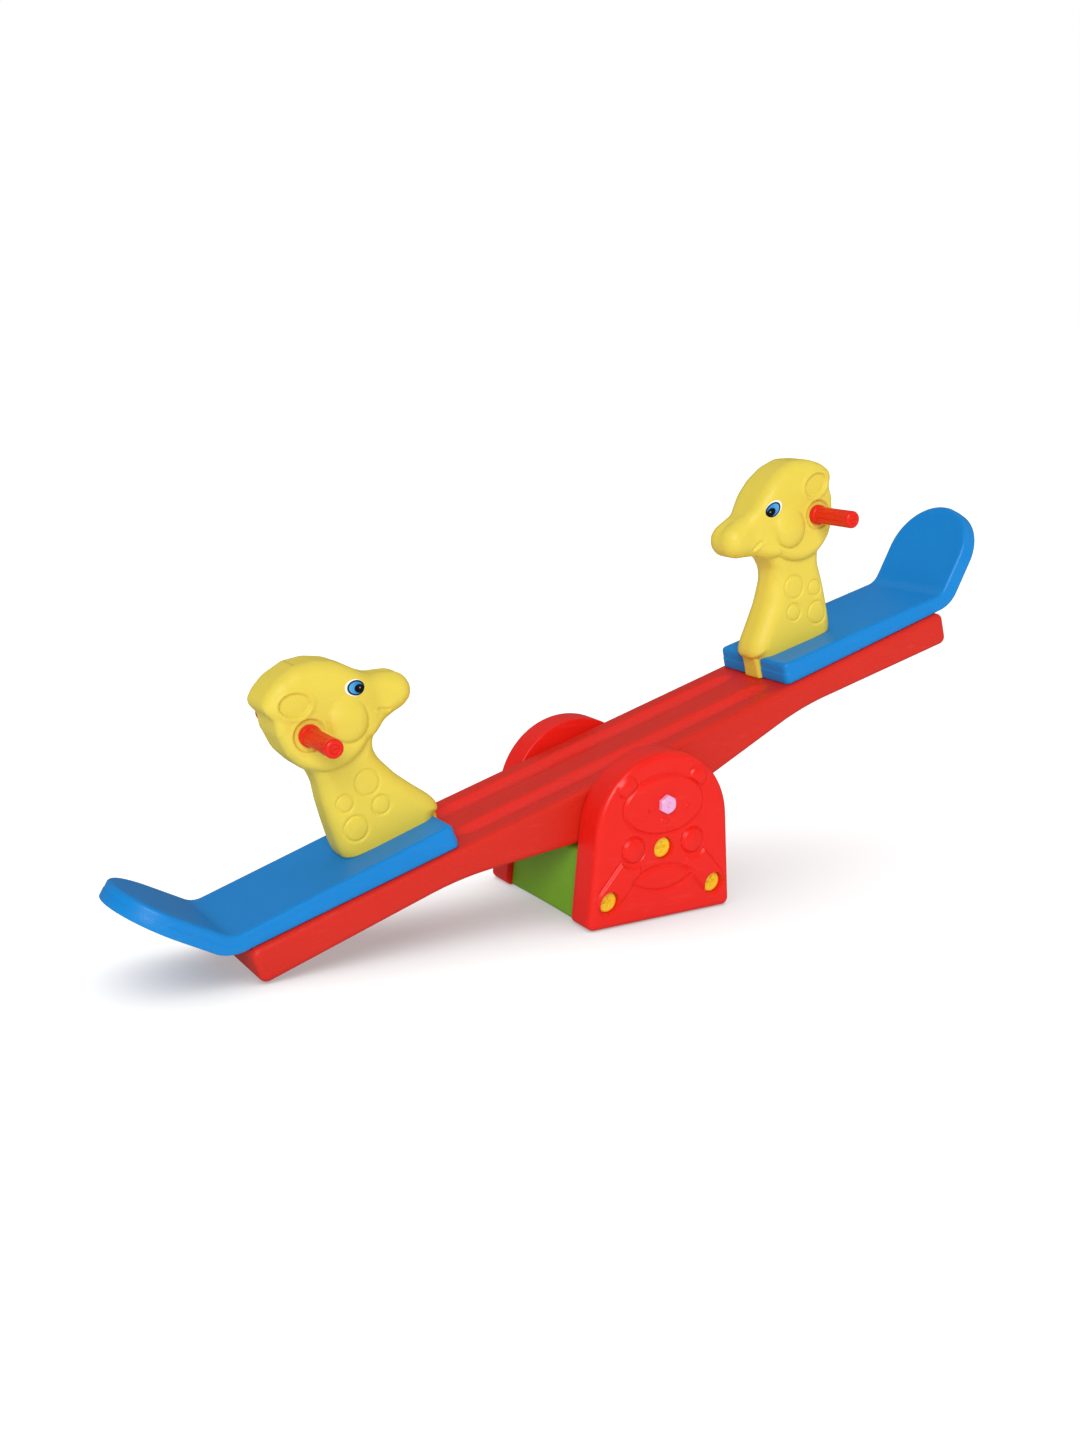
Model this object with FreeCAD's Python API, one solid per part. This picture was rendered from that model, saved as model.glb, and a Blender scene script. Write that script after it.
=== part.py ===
# Toddler seesaw: a rocking beam with two seats and two giraffe heads, carried on
# an axle between two bear-faced side panels. Millimetres. X runs along the beam,
# Y along the axle, Z up; the origin is on the floor under the axle. The rocker is
# drawn level, with the axle at its origin, then tipped until its -X end rests
# on the floor.
import FreeCAD, Part
import math
import os

Vector = FreeCAD.Vector

# Beam
beam_half_length = 660.0
beam_half_width = 96.0
beam_top = 55.0              # top face above the axle
beam_end_under = -1.0        # underside at the ends, above the axle
beam_bend_at = 332.0         # where the underside starts to deepen
beam_bend_under = 9.0
beam_bend_radius = 500.0
belly_half_length = 42.0
belly_depth = 42.0           # underside at the middle, below the axle
belly_radius = 180.0
beam_edge = 8.0
beam_end_top_corner = 14.0
beam_end_low_corner = 9.0
channel_offset = 45.0        # two shallow channels in the top
channel_width = 44.0
channel_depth = 6.0
channel_margin = 26.0        # channel end to seat

# Base
pivot_height = 186.5
panel_half_width = 134.0
panel_over_axle = 80.5       # panel top above the axle
panel_crown = 122.0          # radius of the rounded top
panel_foot = 12.0
panel_thick = 53.0
panel_rim = 10.0
side_gap = 3.0               # panel to beam
box_inset = 10.0             # green box behind the panel's edge
box_foot = 6.0
box_eave = 10.0
box_ridge = 30.0
belly_clearance = 6.0        # box to the rocking belly
washer_radius = 18.0
washer_gap = 0.4             # washer to the rocking beam
floor_gap = 0.4              # low beam end to the floor

# Axle
axle_radius = 8.0
running_clearance = 0.05
sleeve_wall = 5.0
cap_across_flats = 26.5
cap_height = 12.0
cap_chamfer = 2.6
axle_stub = 7.0              # axle beyond the panel's face, inside the cap

# Panel screws
screw_head_radius = 17.0
screw_head_thick = 7.0
screw_recess = 7.0
screw_radius = 6.0
screw_grip = 20.0            # shaft inside the green box
screw_head_clearance = 0.8
screw_edge = 2.0
screw_slot = (18.0, 4.0, 2.5)        # length, width, depth
screw_from_side = 36.0
screw_up = 43.0
screw_under_axle = 71.8

# Bear relief sunk in the panels
relief_width = 4.0
relief_depth = 1.6
bear_face = (73.0, 51.0)             # half width, half height
bear_ear = (64.0, 40.0, 13.0)        # across, above the axle, radius
bear_eye = (38.0, -7.0, 4.0)
bear_paw = (55.0, -67.0, 20.0)
bear_nose = (9.0, 6.0, -26.0)        # half width, half height, above the axle
bear_tummy = (58.0, 20.0, 68.0)      # half width, half height, above the floor

# Seats
seat_inset = 343.0           # beam end to the seat's inner end
seat_overhang = 14.0         # beam end to the seat's bend
seat_half_width = 87.0
seat_thick = 36.0            # at the inner end
seat_fall = 10.0             # top face, from the inner end down to the bend
seat_edge = 7.0
back_angle = 45.5
back_length = 163.0
back_thick = 29.0
seat_radii = (5.0, 9.0, 14.0, 8.0, 8.0, 22.0)    # front foot, front lip, bend, tip, its rear, heel

# Heads: places are (outwards from the seat's inner end, above the seat)
head_half_thick = 44.0
head_edge = 7.0
snout_half_thick = 36.0      # where the cheeks start to taper
snout_root = 34.0
snout_taper = 10.0           # degrees
skull_points = [(34.0, 168.0), (10.0, 173.0), (-11.0, 183.0), (-23.0, 201.0), (-15.0, 223.0),
                (10.0, 234.0), (34.0, 240.0), (60.0, 267.0), (87.0, 287.5), (137.0, 296.0),
                (184.0, 280.0), (200.5, 261.0), (194.0, 239.0), (195.0, 208.0), (175.0, 156.0),
                (122.0, 137.0), (67.0, 157.0)]
neck_half_thick = 34.0
neck_foot = (151.0, 6.0)     # rear corner on the seat: place, radius
neck_corners = [(155.0, 160.0, 8.0), (64.0, 160.0, 8.0), (34.0, 76.0, 140.0),
                (-17.0, 24.0, 8.0), (-17.0, 6.0, 4.0), (0.0, 0.0, 2.0)]
tongue_half_width = 20.0
tongue_front = -8.0
tongue_back = 27.0
slot_clearance = 1.0
hub = (154.0, 200.0)
hub_radius = 24.0
hub_depth = 3.0
ear_hollow = (161.0, 249.0)
ear_hollow_size = (22.0, 15.5, 14.0)     # half length, half height, turn
spot_depth = 2.0
spots = [(89.0, 95.0, 17.0), (130.0, 79.0, 12.0), (79.0, 54.0, 13.0), (125.0, 37.0, 17.0)]
eye_place = (70.0, 240.0)
eye_size = (14.0, 11.0, 22.0)            # half length, half height, turn
eye_thick = 0.6

# Handles
rod_radius = 8.0
grip_radius = 14.0
grip_length = 86.0           # head side to grip end
grip_nose = 5.0
grip_end_wall = 12.0
collar_radius = 17.0
collar_length = 7.0
collar_edge = 2.0
flute_radius = 2.4
flute_count = 10
flute_margin = 5.0
plug_radius = 6.5
plug_thick = 4.0
plug_recess = 1.0
plug_slot = (8.0, 1.6, 1.0)

# Screws driven up from the underside
bolt_radius = 3.0
bolt_head_radius = 7.0
bolt_head_thick = 5.0
bolt_head_clearance = 0.5
bolt_well = 20.0             # how deep the heads seat in the underside
bolt_bite = 18.0             # thread inside the piece it holds
bolt_slot = (9.0, 2.0, 2.0)
seat_bolt_from_start = 62.0
seat_bolt_from_end = 50.0
seat_bolt_across = 55.0
head_bolts_from_start = (54.0, 127.0)

overshoot = 1.0              # how far a cutter starts outside the face it cuts

# Worked out from the above
panel_inside = beam_half_width + side_gap
panel_outside = panel_inside + panel_thick
panel_top = pivot_height + panel_over_axle
seat_start = beam_half_length - seat_inset
seat_bend = beam_half_length + seat_overhang
seat_top = beam_top + seat_thick
sleeve_outside = axle_radius + running_clearance + sleeve_wall
grip_end = head_half_thick + grip_length
screw_places = [(screw_from_side - panel_half_width, screw_up),
                (panel_half_width - screw_from_side, screw_up),
                (0.0, pivot_height - screw_under_axle)]
seat_bolt_places = [(x, y) for x in (seat_start + seat_bolt_from_start,
                                     beam_half_length - seat_bolt_from_end)
                    for y in (-seat_bolt_across, seat_bolt_across)]
head_bolt_places = [(seat_start + x, 0.0) for x in head_bolts_from_start]

# Resting tilt: the low end's rounded corner stands floor_gap above the floor
corner_x = beam_half_length - beam_end_low_corner
corner_z = beam_end_under + beam_end_low_corner
tilt = math.atan2(corner_z, corner_x) + math.asin(
    (pivot_height - beam_end_low_corner - floor_gap) / math.hypot(corner_x, corner_z))


def rounded_outline(corners):
    """Closed wire in the XZ plane; each corner is (x, z, radius)."""
    points = [Vector(x, 0, z) for x, z, radius in corners]
    pieces, ends = [], []
    for i, here in enumerate(points):
        radius = corners[i][2]
        back = (points[i - 1] - here).normalize()
        ahead = (points[(i + 1) % len(points)] - here).normalize()
        half = back.getAngle(ahead) / 2
        run = radius / math.tan(half)
        middle = here + (back + ahead).normalize() * (radius / math.sin(half) - radius)
        pieces.append(Part.Arc(here + back * run, middle, here + ahead * run).toShape())
        ends.append((here + back * run, here + ahead * run))
    for i in range(len(ends)):
        pieces.append(Part.makeLine(ends[i - 1][1], ends[i][0]))
    return Part.Wire(Part.__sortEdges__(pieces))


def slab(wire, y_low, y_high):
    """Solid from an XZ outline between two Y values."""
    solid = Part.Face(wire).extrude(Vector(0, y_high - y_low, 0))
    solid.translate(Vector(0, y_low, 0))
    return solid


def rod_y(x, z, radius, y_low, y_high):
    return Part.makeCylinder(radius, y_high - y_low, Vector(x, y_low, z), Vector(0, 1, 0))


def rod_z(x, y, radius, z_low, z_high):
    return Part.makeCylinder(radius, z_high - z_low, Vector(x, y, z_low))


def block(x, y, z, size_x, size_y, size_z):
    """Box centred in X and Y, rising from z."""
    return Part.makeBox(size_x, size_y, size_z, Vector(x - size_x / 2, y - size_y / 2, z))


def oval_y(x, z, half_long, half_short, turn, y_low, y_high):
    """Elliptical disc facing Y; turn is its long axis above +X in degrees."""
    rim = Part.Ellipse(Vector(0, 0, 0), half_long, half_short).toShape()
    disc = Part.Face(Part.Wire(rim)).extrude(Vector(0, 0, y_high - y_low))
    disc.rotate(Vector(0, 0, 0), Vector(0, 0, 1), turn)
    disc.rotate(Vector(0, 0, 0), Vector(1, 0, 0), 90)
    disc.translate(Vector(x, y_high, z))
    return disc


def rim_edges(solid, y):
    """Edges that lie in the plane of one Y value."""
    return [edge for edge in solid.Edges
            if abs(edge.BoundBox.YMin - y) < 1e-4 and abs(edge.BoundBox.YMax - y) < 1e-4]


def rounded_slab(wire, half_width, radius):
    """Slab centred on Y = 0 with both rims rounded."""
    solid = slab(wire, -half_width, half_width)
    return solid.makeFillet(radius, rim_edges(solid, -half_width) + rim_edges(solid, half_width))


def mirrored_x(solid):
    return solid.mirror(Vector(0, 0, 0), Vector(1, 0, 0))


def mirrored_y(solid):
    return solid.mirror(Vector(0, 0, 0), Vector(0, 1, 0))


def on_rocker(solid):
    """From the level rocker to its resting tilt."""
    placed = solid.copy()
    placed.rotate(Vector(0, 0, 0), Vector(0, 1, 0), -math.degrees(tilt))
    placed.translate(Vector(0, 0, pivot_height))
    return placed


def save(name, shape):
    shape.exportStep("parts/" + name + ".step")


# ---- base ----

def bear_cuts(face):
    """The sunk lines of the bear, cut from the panel's outer face inwards."""
    low, high = face - overshoot, face + relief_depth

    def ring(x, z, half_long, half_short):
        outer = oval_y(x, z, half_long, half_short, 0, low, high)
        return outer.cut(oval_y(x, z, half_long - relief_width, half_short - relief_width,
                                0, low, high))

    cuts = [ring(0, pivot_height, *bear_face)]
    for side in (-1, 1):
        cuts.append(rod_y(side * bear_ear[0], pivot_height + bear_ear[1], bear_ear[2], low, high))
        cuts.append(rod_y(side * bear_eye[0], pivot_height + bear_eye[1], bear_eye[2], low, high))
        cuts.append(ring(side * bear_paw[0], pivot_height + bear_paw[1], bear_paw[2], bear_paw[2]))
    cuts.append(oval_y(0, pivot_height + bear_nose[2], bear_nose[0], bear_nose[1], 0, low, high))
    # the tummy is the lens where two equal circles cross
    half_width, half_height, middle = bear_tummy
    radius = (half_width ** 2 + half_height ** 2) / (2 * half_height)
    lower = rod_y(0, middle + half_height - radius, radius, low, high)
    cuts.append(lower.common(rod_y(0, middle - half_height + radius, radius, low, high)))
    return cuts


def make_panel():
    """Front side panel: a round crown with tangent sides; it faces -Y."""
    crown_z = panel_top - panel_crown
    side_rise = math.atan2(crown_z, panel_half_width) + math.asin(
        panel_crown / math.hypot(panel_half_width, crown_z))
    apex = panel_half_width * math.tan(side_rise)
    outline = rounded_outline([(-panel_half_width, 0, panel_foot),
                               (panel_half_width, 0, panel_foot), (0, apex, panel_crown)])
    face = -panel_outside
    panel = slab(outline, face, -panel_inside)
    panel = panel.makeFillet(panel_rim, rim_edges(panel, face))
    for x, z in screw_places:
        panel = panel.cut(rod_y(x, z, screw_head_radius + screw_head_clearance,
                                face - overshoot, face + screw_recess + screw_head_thick))
        panel = panel.cut(rod_y(x, z, screw_radius, face, -panel_inside))
    panel = panel.cut(rod_y(0, pivot_height, axle_radius, face, -panel_inside))
    return panel.cut(bear_cuts(face))


def make_box():
    """Green box: it spaces the panels, takes their screws and clears the belly."""
    foot = panel_half_width - box_inset
    ridge = pivot_height - belly_depth / math.cos(tilt) - belly_clearance
    belly_slope = (beam_bend_under + belly_depth) / (beam_bend_at - belly_half_length)
    eave = ridge - belly_half_length * math.tan(tilt) - (foot - belly_half_length) * (
        math.tan(tilt) - belly_slope)
    shoulder = foot - box_inset
    outline = rounded_outline([(-foot, 0, box_foot), (foot, 0, box_foot),
                               (shoulder, eave, box_eave), (0, ridge, box_ridge),
                               (-shoulder, eave, box_eave)])
    box = slab(outline, -panel_inside, panel_inside)
    for x, z in screw_places:
        box = box.cut(rod_y(x, z, screw_radius, -panel_inside, screw_grip - panel_inside))
        box = box.cut(rod_y(x, z, screw_radius, panel_inside - screw_grip, panel_inside))
    return box


def make_panel_screw(x, z):
    """Cross-slot screw of the front panel."""
    face = screw_recess - panel_outside
    seat = face + screw_head_thick
    head = rod_y(x, z, screw_head_radius, face, seat)
    head = head.makeFillet(screw_edge, rim_edges(head, face))
    screw = head.fuse(rod_y(x, z, screw_radius, seat, screw_grip - panel_inside))
    length, width, depth = screw_slot
    for size_x, size_z in ((length, width), (width, length)):
        screw = screw.cut(block(x, face, z - size_z / 2, size_x, 2 * depth, size_z))
    return screw


def make_cap():
    """Hexagonal cap over the axle's front end, chamfered like a nut."""
    corner = cap_across_flats / 2 / math.cos(math.pi / 6)
    points = [Vector(corner * math.sin(k * math.pi / 3), 0, corner * math.cos(k * math.pi / 3))
              for k in range(7)]
    cap = slab(Part.makePolygon(points), -cap_height, 0)
    cone = Part.makeCone(corner - cap_chamfer + cap_height, corner - cap_chamfer, cap_height,
                         Vector(0, 0, 0), Vector(0, -1, 0))
    cap = cap.common(cone).cut(rod_y(0, 0, axle_radius, -axle_stub, 0))
    cap.translate(Vector(0, -panel_outside, pivot_height))
    return cap


def make_washers():
    """One on each side, between panel and beam."""
    inner = washer_gap - side_gap + panel_inside
    washer = rod_y(0, pivot_height, washer_radius, inner, panel_inside)
    washer = washer.cut(rod_y(0, pivot_height, axle_radius, inner, panel_inside))
    return Part.makeCompound([mirrored_y(washer), washer])


# ---- rocker ----

def underside(x):
    """Height of the outer, flatter part of the underside."""
    share = (x - beam_bend_at) / (beam_half_length - beam_bend_at)
    return beam_bend_under + (beam_end_under - beam_bend_under) * share


def make_channel(y):
    """Round-bottomed channel with ball ends."""
    radius = (channel_width ** 2 / 4 + channel_depth ** 2) / (2 * channel_depth)
    reach = seat_start - channel_margin - channel_width / 2
    middle = Vector(-reach, y, beam_top - channel_depth + radius)
    channel = Part.makeCylinder(radius, 2 * reach, middle, Vector(1, 0, 0))
    channel = channel.fuse(Part.makeSphere(radius, middle))
    return channel.fuse(Part.makeSphere(radius, middle + Vector(2 * reach, 0, 0)))


def make_beam():
    half = [(beam_half_length, beam_top, beam_end_top_corner),
            (beam_half_length, beam_end_under, beam_end_low_corner),
            (beam_bend_at, beam_bend_under, beam_bend_radius),
            (belly_half_length, -belly_depth, belly_radius)]
    outline = rounded_outline(half + [(-x, z, radius) for x, z, radius in reversed(half)])
    beam = rounded_slab(outline, beam_half_width, beam_edge)
    beam = beam.cut([make_channel(-channel_offset), make_channel(channel_offset)])
    beam = beam.cut(rod_y(0, 0, sleeve_outside, -beam_half_width, beam_half_width))
    for x, y in seat_bolt_places + head_bolt_places:
        well_top = underside(x) + bolt_well
        hole = rod_z(x, y, bolt_head_radius + bolt_head_clearance,
                     well_top - 2 * bolt_well, well_top)
        hole = hole.fuse(rod_z(x, y, bolt_radius, well_top, beam_top))
        beam = beam.cut([hole, mirrored_x(hole)])
    return beam


def make_bolt(x, y, thread_top):
    """Screw driven up from the underside."""
    well_top = underside(x) + bolt_well
    head_low = well_top - bolt_head_thick
    bolt = rod_z(x, y, bolt_head_radius, head_low, well_top)
    bolt = bolt.fuse(rod_z(x, y, bolt_radius, well_top, thread_top))
    length, width, depth = bolt_slot
    for size_x, size_y in ((length, width), (width, length)):
        bolt = bolt.cut(block(x, y, head_low, size_x, size_y, depth))
    return bolt


def make_seat():
    """Right seat: flat pan, then a leaning back with a half-round end."""
    slope = math.radians(back_angle)
    along = Vector(math.cos(slope), 0, math.sin(slope))
    outward = Vector(math.sin(slope), 0, -math.cos(slope))
    bend = Vector(seat_bend, 0, seat_top - seat_fall)
    tip = bend + along * back_length
    tip_back = tip + outward * back_thick
    heel = tip_back - along * ((tip_back.z - beam_top) / math.sin(slope))
    corners = [Vector(seat_start, 0, beam_top), Vector(seat_start, 0, seat_top),
               bend, tip, tip_back, heel]
    outline = rounded_outline([(corner.x, corner.z, radius)
                               for corner, radius in zip(corners, seat_radii)])
    seat = rounded_slab(outline, seat_half_width, seat_edge)
    # round the end of the back: what lies beyond the half circle is cut away
    centre = bend + along * (back_length - seat_half_width)
    far = Part.makeBox(2 * seat_half_width, 4 * seat_half_width, 8 * back_thick,
                       Vector(0, -2 * seat_half_width, -4 * back_thick))
    far.rotate(Vector(0, 0, 0), Vector(0, 1, 0), -back_angle)
    far.translate(centre)
    keep = Part.makeCylinder(seat_half_width, 8 * back_thick, centre - outward * 4 * back_thick,
                             outward)
    seat = seat.cut(far.cut(keep))
    slot_back = tongue_back + slot_clearance
    slot = Part.makeBox(2 * slot_back, 2 * (tongue_half_width + slot_clearance), 2 * seat_thick,
                        Vector(seat_start - slot_back, -tongue_half_width - slot_clearance,
                               beam_top - seat_thick / 2))
    seat = seat.cut(slot)
    holes = [rod_z(x, y, bolt_radius, beam_top, beam_top + bolt_bite) for x, y in seat_bolt_places]
    holes += [rod_z(x, y, bolt_radius, beam_top, seat_top) for x, y in head_bolt_places]
    return seat.cut(holes)


def make_head():
    """Right giraffe head, its snout towards the middle of the beam."""
    curve = Part.BSplineCurve()
    curve.interpolate([Vector(x, 0, z) for x, z in skull_points], PeriodicFlag=True)
    skull = rounded_slab(Part.Wire(curve.toShape()), head_half_thick, head_edge)
    # both cheeks taper towards the snout
    for side in (-1, 1):
        cheek = Part.makeBox(4 * snout_root, head_half_thick, 4 * snout_root,
                             Vector(-4 * snout_root, -head_half_thick / 2, 3 * snout_root))
        cheek.rotate(Vector(0, 0, 0), Vector(0, 0, 1), -side * snout_taper)
        cheek.translate(Vector(snout_root, side * (snout_half_thick + head_half_thick / 2), 0))
        skull = skull.cut(cheek)
    slope = seat_fall / (seat_bend - seat_start)
    foot_back, foot_radius = neck_foot
    neck_outline = rounded_outline([(foot_back, -foot_back * slope, foot_radius)] + neck_corners)
    head = skull.fuse(rounded_slab(neck_outline, neck_half_thick, head_edge))
    tongue = Part.makeBox(tongue_back - tongue_front, 2 * tongue_half_width, 2 * seat_thick,
                          Vector(tongue_front, -tongue_half_width, -seat_thick))
    head = head.fuse(tongue)
    for side in (-1, 1):
        low, high = sorted((side * (head_half_thick - hub_depth),
                            side * (head_half_thick + overshoot)))
        head = head.cut(rod_y(*hub, hub_radius, low, high))
        head = head.cut(oval_y(*ear_hollow, *ear_hollow_size, low, high))
        low, high = sorted((side * (neck_half_thick - spot_depth),
                            side * (neck_half_thick + overshoot)))
        head = head.cut([rod_y(x, z, radius, low, high) for x, z, radius in spots])
    head = head.cut(rod_y(*hub, rod_radius, -head_half_thick, head_half_thick))
    return head.cut([rod_z(x, 0, bolt_radius, -seat_fall, bolt_bite) for x in head_bolts_from_start])


def make_eyes():
    """Printed discs on both sides of the right head."""
    return Part.makeCompound([oval_y(*eye_place, *eye_size, low, low + eye_thick)
                              for low in (-head_half_thick - eye_thick, head_half_thick)])


def make_grip():
    """Rear grip of the right head: collar, fluted barrel and rounded nose."""
    start = head_half_thick - hub_depth
    collar_end = head_half_thick + collar_length
    grip = rod_y(*hub, grip_radius, start, grip_end)
    grip = grip.makeFillet(grip_nose, rim_edges(grip, grip_end))
    collar = rod_y(*hub, collar_radius, start, collar_end)
    grip = grip.fuse(collar.makeFillet(collar_edge, rim_edges(collar, collar_end)))
    reach = grip_radius + flute_radius / 2
    flutes = []
    for k in range(flute_count):
        turn = 2 * math.pi * k / flute_count
        flutes.append(rod_y(hub[0] + reach * math.cos(turn), hub[1] + reach * math.sin(turn),
                            flute_radius, collar_end + flute_margin,
                            grip_end - grip_nose - flute_margin))
    grip = grip.cut(flutes)
    grip = grip.cut(rod_y(*hub, rod_radius, start, grip_end - grip_end_wall))
    return grip.cut(rod_y(*hub, plug_radius, grip_end - plug_recess - plug_thick, grip_end))


def make_plug():
    """Slotted plug in the rear grip's end."""
    top = grip_end - plug_recess
    length, width, depth = plug_slot
    slot = block(hub[0], top, hub[1] - width / 2, length, 2 * depth, width)
    return rod_y(*hub, plug_radius, top - plug_thick, top).cut(slot)


def at_seat(solid):
    """From the head's own corner to the seat's inner end."""
    placed = solid.copy()
    placed.translate(Vector(seat_start, 0, seat_top))
    return placed


os.makedirs("parts", exist_ok=True)

panel = make_panel()
panel_screws = Part.makeCompound([make_panel_screw(x, z) for x, z in screw_places])
cap = make_cap()
axle_end = panel_outside + axle_stub
save("side_panel_front", panel)
save("side_panel_rear", mirrored_y(panel))
save("center_box", make_box())
save("panel_screws_front", panel_screws)
save("panel_screws_rear", mirrored_y(panel_screws))
save("axle_rod", rod_y(0, pivot_height, axle_radius, -axle_end, axle_end))
save("axle_cap_front", cap)
save("axle_cap_rear", mirrored_y(cap))
save("axle_washers", make_washers())

sleeve = rod_y(0, 0, sleeve_outside, -beam_half_width, beam_half_width)
sleeve = sleeve.cut(rod_y(0, 0, axle_radius + running_clearance, -beam_half_width, beam_half_width))
save("beam", on_rocker(make_beam()))
save("pivot_sleeve", on_rocker(sleeve))

grip = at_seat(make_grip())
plug = at_seat(make_plug())
rod_end = grip_end - grip_end_wall
right_half = {
    "seat": make_seat(),
    "head": at_seat(make_head()),
    "eyes": at_seat(make_eyes()),
    "handle_rod": at_seat(rod_y(*hub, rod_radius, -rod_end, rod_end)),
    "grip_rear": grip,
    "grip_front": mirrored_y(grip),
    "grip_plugs": Part.makeCompound([plug, mirrored_y(plug)]),
    "seat_bolts": Part.makeCompound([make_bolt(x, y, beam_top + bolt_bite)
                                     for x, y in seat_bolt_places]),
    "head_bolts": Part.makeCompound([make_bolt(x, y, seat_top + bolt_bite)
                                     for x, y in head_bolt_places]),
}
for name, shape in right_half.items():
    save(name + "_right", on_rocker(shape))
    save(name + "_left", on_rocker(mirrored_x(shape)))
print("resting tilt in degrees", round(math.degrees(tilt), 3))
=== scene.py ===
# Toddler seesaw in moulded plastic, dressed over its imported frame
import bmesh
import bpy
import math
import numpy as np
from mathutils import Matrix


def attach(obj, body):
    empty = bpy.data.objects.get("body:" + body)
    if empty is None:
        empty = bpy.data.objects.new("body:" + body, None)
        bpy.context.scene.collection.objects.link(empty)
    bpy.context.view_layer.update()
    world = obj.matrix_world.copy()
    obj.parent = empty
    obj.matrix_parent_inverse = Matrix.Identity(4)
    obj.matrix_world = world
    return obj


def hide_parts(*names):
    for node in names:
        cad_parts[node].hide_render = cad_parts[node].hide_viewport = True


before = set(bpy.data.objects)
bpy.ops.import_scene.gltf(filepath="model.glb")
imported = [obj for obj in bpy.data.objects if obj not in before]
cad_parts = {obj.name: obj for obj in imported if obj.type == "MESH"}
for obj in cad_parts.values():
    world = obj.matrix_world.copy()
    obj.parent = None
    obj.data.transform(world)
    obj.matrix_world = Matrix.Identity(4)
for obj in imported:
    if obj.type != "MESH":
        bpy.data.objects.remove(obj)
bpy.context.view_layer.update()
print("frame loaded,", len(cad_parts), "nodes")

# where the rocker rests: shapes of the rocker are drawn level, in mm, with the axle at 0, 0
rest = {"pivotHeight": 186.5, "tilt": math.radians(16.489)}
# the beam's underside, which the box below it clears
belly = {"half": 42.0, "depth": 42.0, "bendAt": 332.0, "bendUnder": 9.0}


# small tools

def ramp(value, low, high):
    # smooth step: 0 below low, 1 above high, 3t2 - 2t3 between
    t = np.clip((value - low) / (high - low), 0, 1)
    return t * t * (3 - 2 * t)


def bell(value, width):
    # 1 at zero, falling as a bell curve
    return np.exp(-(value / width) ** 2)


def gridFaces(rows, cols, closed, start):
    # the four corners of every cell; closed joins the last column to the first
    row = np.arange(rows - 1)[:, None] * cols
    col = np.arange(cols if closed else cols - 1)[None, :]
    after = (col + 1) % cols
    cells = np.stack([row + col, row + after, row + cols + after, row + cols + col], -1)
    return cells.reshape(-1, 4) + start


def makeMesh(name, shells, attributes=None, uvFromShell=None):
    # shells are (rows, cols, 3) grids in mm with a closed flag; doubled points are merged after
    points, faces, start = [], [], 0
    for grid, closed in shells:
        rows, cols = grid.shape[:2]
        points.append(grid.reshape(-1, 3))
        faces.append(gridFaces(rows, cols, closed, start))
        start += rows * cols
    points = np.concatenate(points) * 0.001   # to metres
    faces = np.concatenate(faces)
    mesh = bpy.data.meshes.new(name)
    mesh.vertices.add(len(points))
    mesh.vertices.foreach_set("co", points.astype(np.float32).ravel())
    mesh.loops.add(faces.size)
    mesh.loops.foreach_set("vertex_index", faces.astype(np.int32).ravel())
    mesh.polygons.add(len(faces))
    mesh.polygons.foreach_set("loop_start", np.arange(0, faces.size, 4, dtype=np.int32))
    for label, values in (attributes or {}).items():
        layer = mesh.attributes.new(label, "FLOAT", "POINT")
        layer.data.foreach_set("value", values.astype(np.float32).ravel())
    if uvFromShell is not None:
        layer = mesh.uv_layers.new(name="face")
        layer.data.foreach_set("uv", uvFromShell[faces.ravel()].astype(np.float32).ravel())
    mesh.update(calc_edges=True)
    mesh.validate()
    return mesh


def tidyMesh(mesh, weld=0.00002, sharp=None):
    # doubles merged, flat cells dropped, faces turned outwards, smooth shading
    work = bmesh.new()
    work.from_mesh(mesh)
    bmesh.ops.remove_doubles(work, verts=work.verts, dist=weld)
    bmesh.ops.dissolve_degenerate(work, edges=work.edges, dist=weld / 4)
    bmesh.ops.recalc_face_normals(work, faces=work.faces)
    work.to_mesh(mesh)
    work.free()
    mesh.shade_smooth()
    if sharp is not None:
        mesh.set_sharp_from_angle(angle=math.radians(sharp))


def addPiece(name, mesh, material, body, node):
    # a piece on its body, in place of the frame's own node
    piece = bpy.data.objects.new(name, mesh)
    bpy.context.scene.collection.objects.link(piece)
    mesh.materials.append(material)
    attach(piece, body)
    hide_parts(node)
    return piece


def ontoRocker(grid):
    # from the level rocker to its resting tilt: turned about the axle, then lifted
    x, y, z = grid[..., 0], grid[..., 1], grid[..., 2]
    c, s = math.cos(rest["tilt"]), math.sin(rest["tilt"])
    return np.stack([x * c - z * s, y, x * s + z * c + rest["pivotHeight"]], -1)


def asIs(grid):
    return grid


def flipX(grid):
    return grid * np.array([-1.0, 1.0, 1.0])


def flipY(grid):
    return grid * np.array([1.0, -1.0, 1.0])


sides = (("Front", asIs), ("Rear", flipY))
ends = (("Right", asIs), ("Left", flipX))


def resample(points, count, closed=True):
    # the same line with its points at equal steps along it
    if closed:
        points = np.concatenate([points, points[:1]])
    along = np.concatenate([[0], np.cumsum(np.hypot(*np.diff(points, axis=0).T))])
    wanted = np.linspace(0, along[-1], count + 1 if closed else count)
    wanted = wanted[:-1] if closed else wanted
    return np.stack([np.interp(wanted, along, points[:, k]) for k in (0, 1)], 1)


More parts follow.
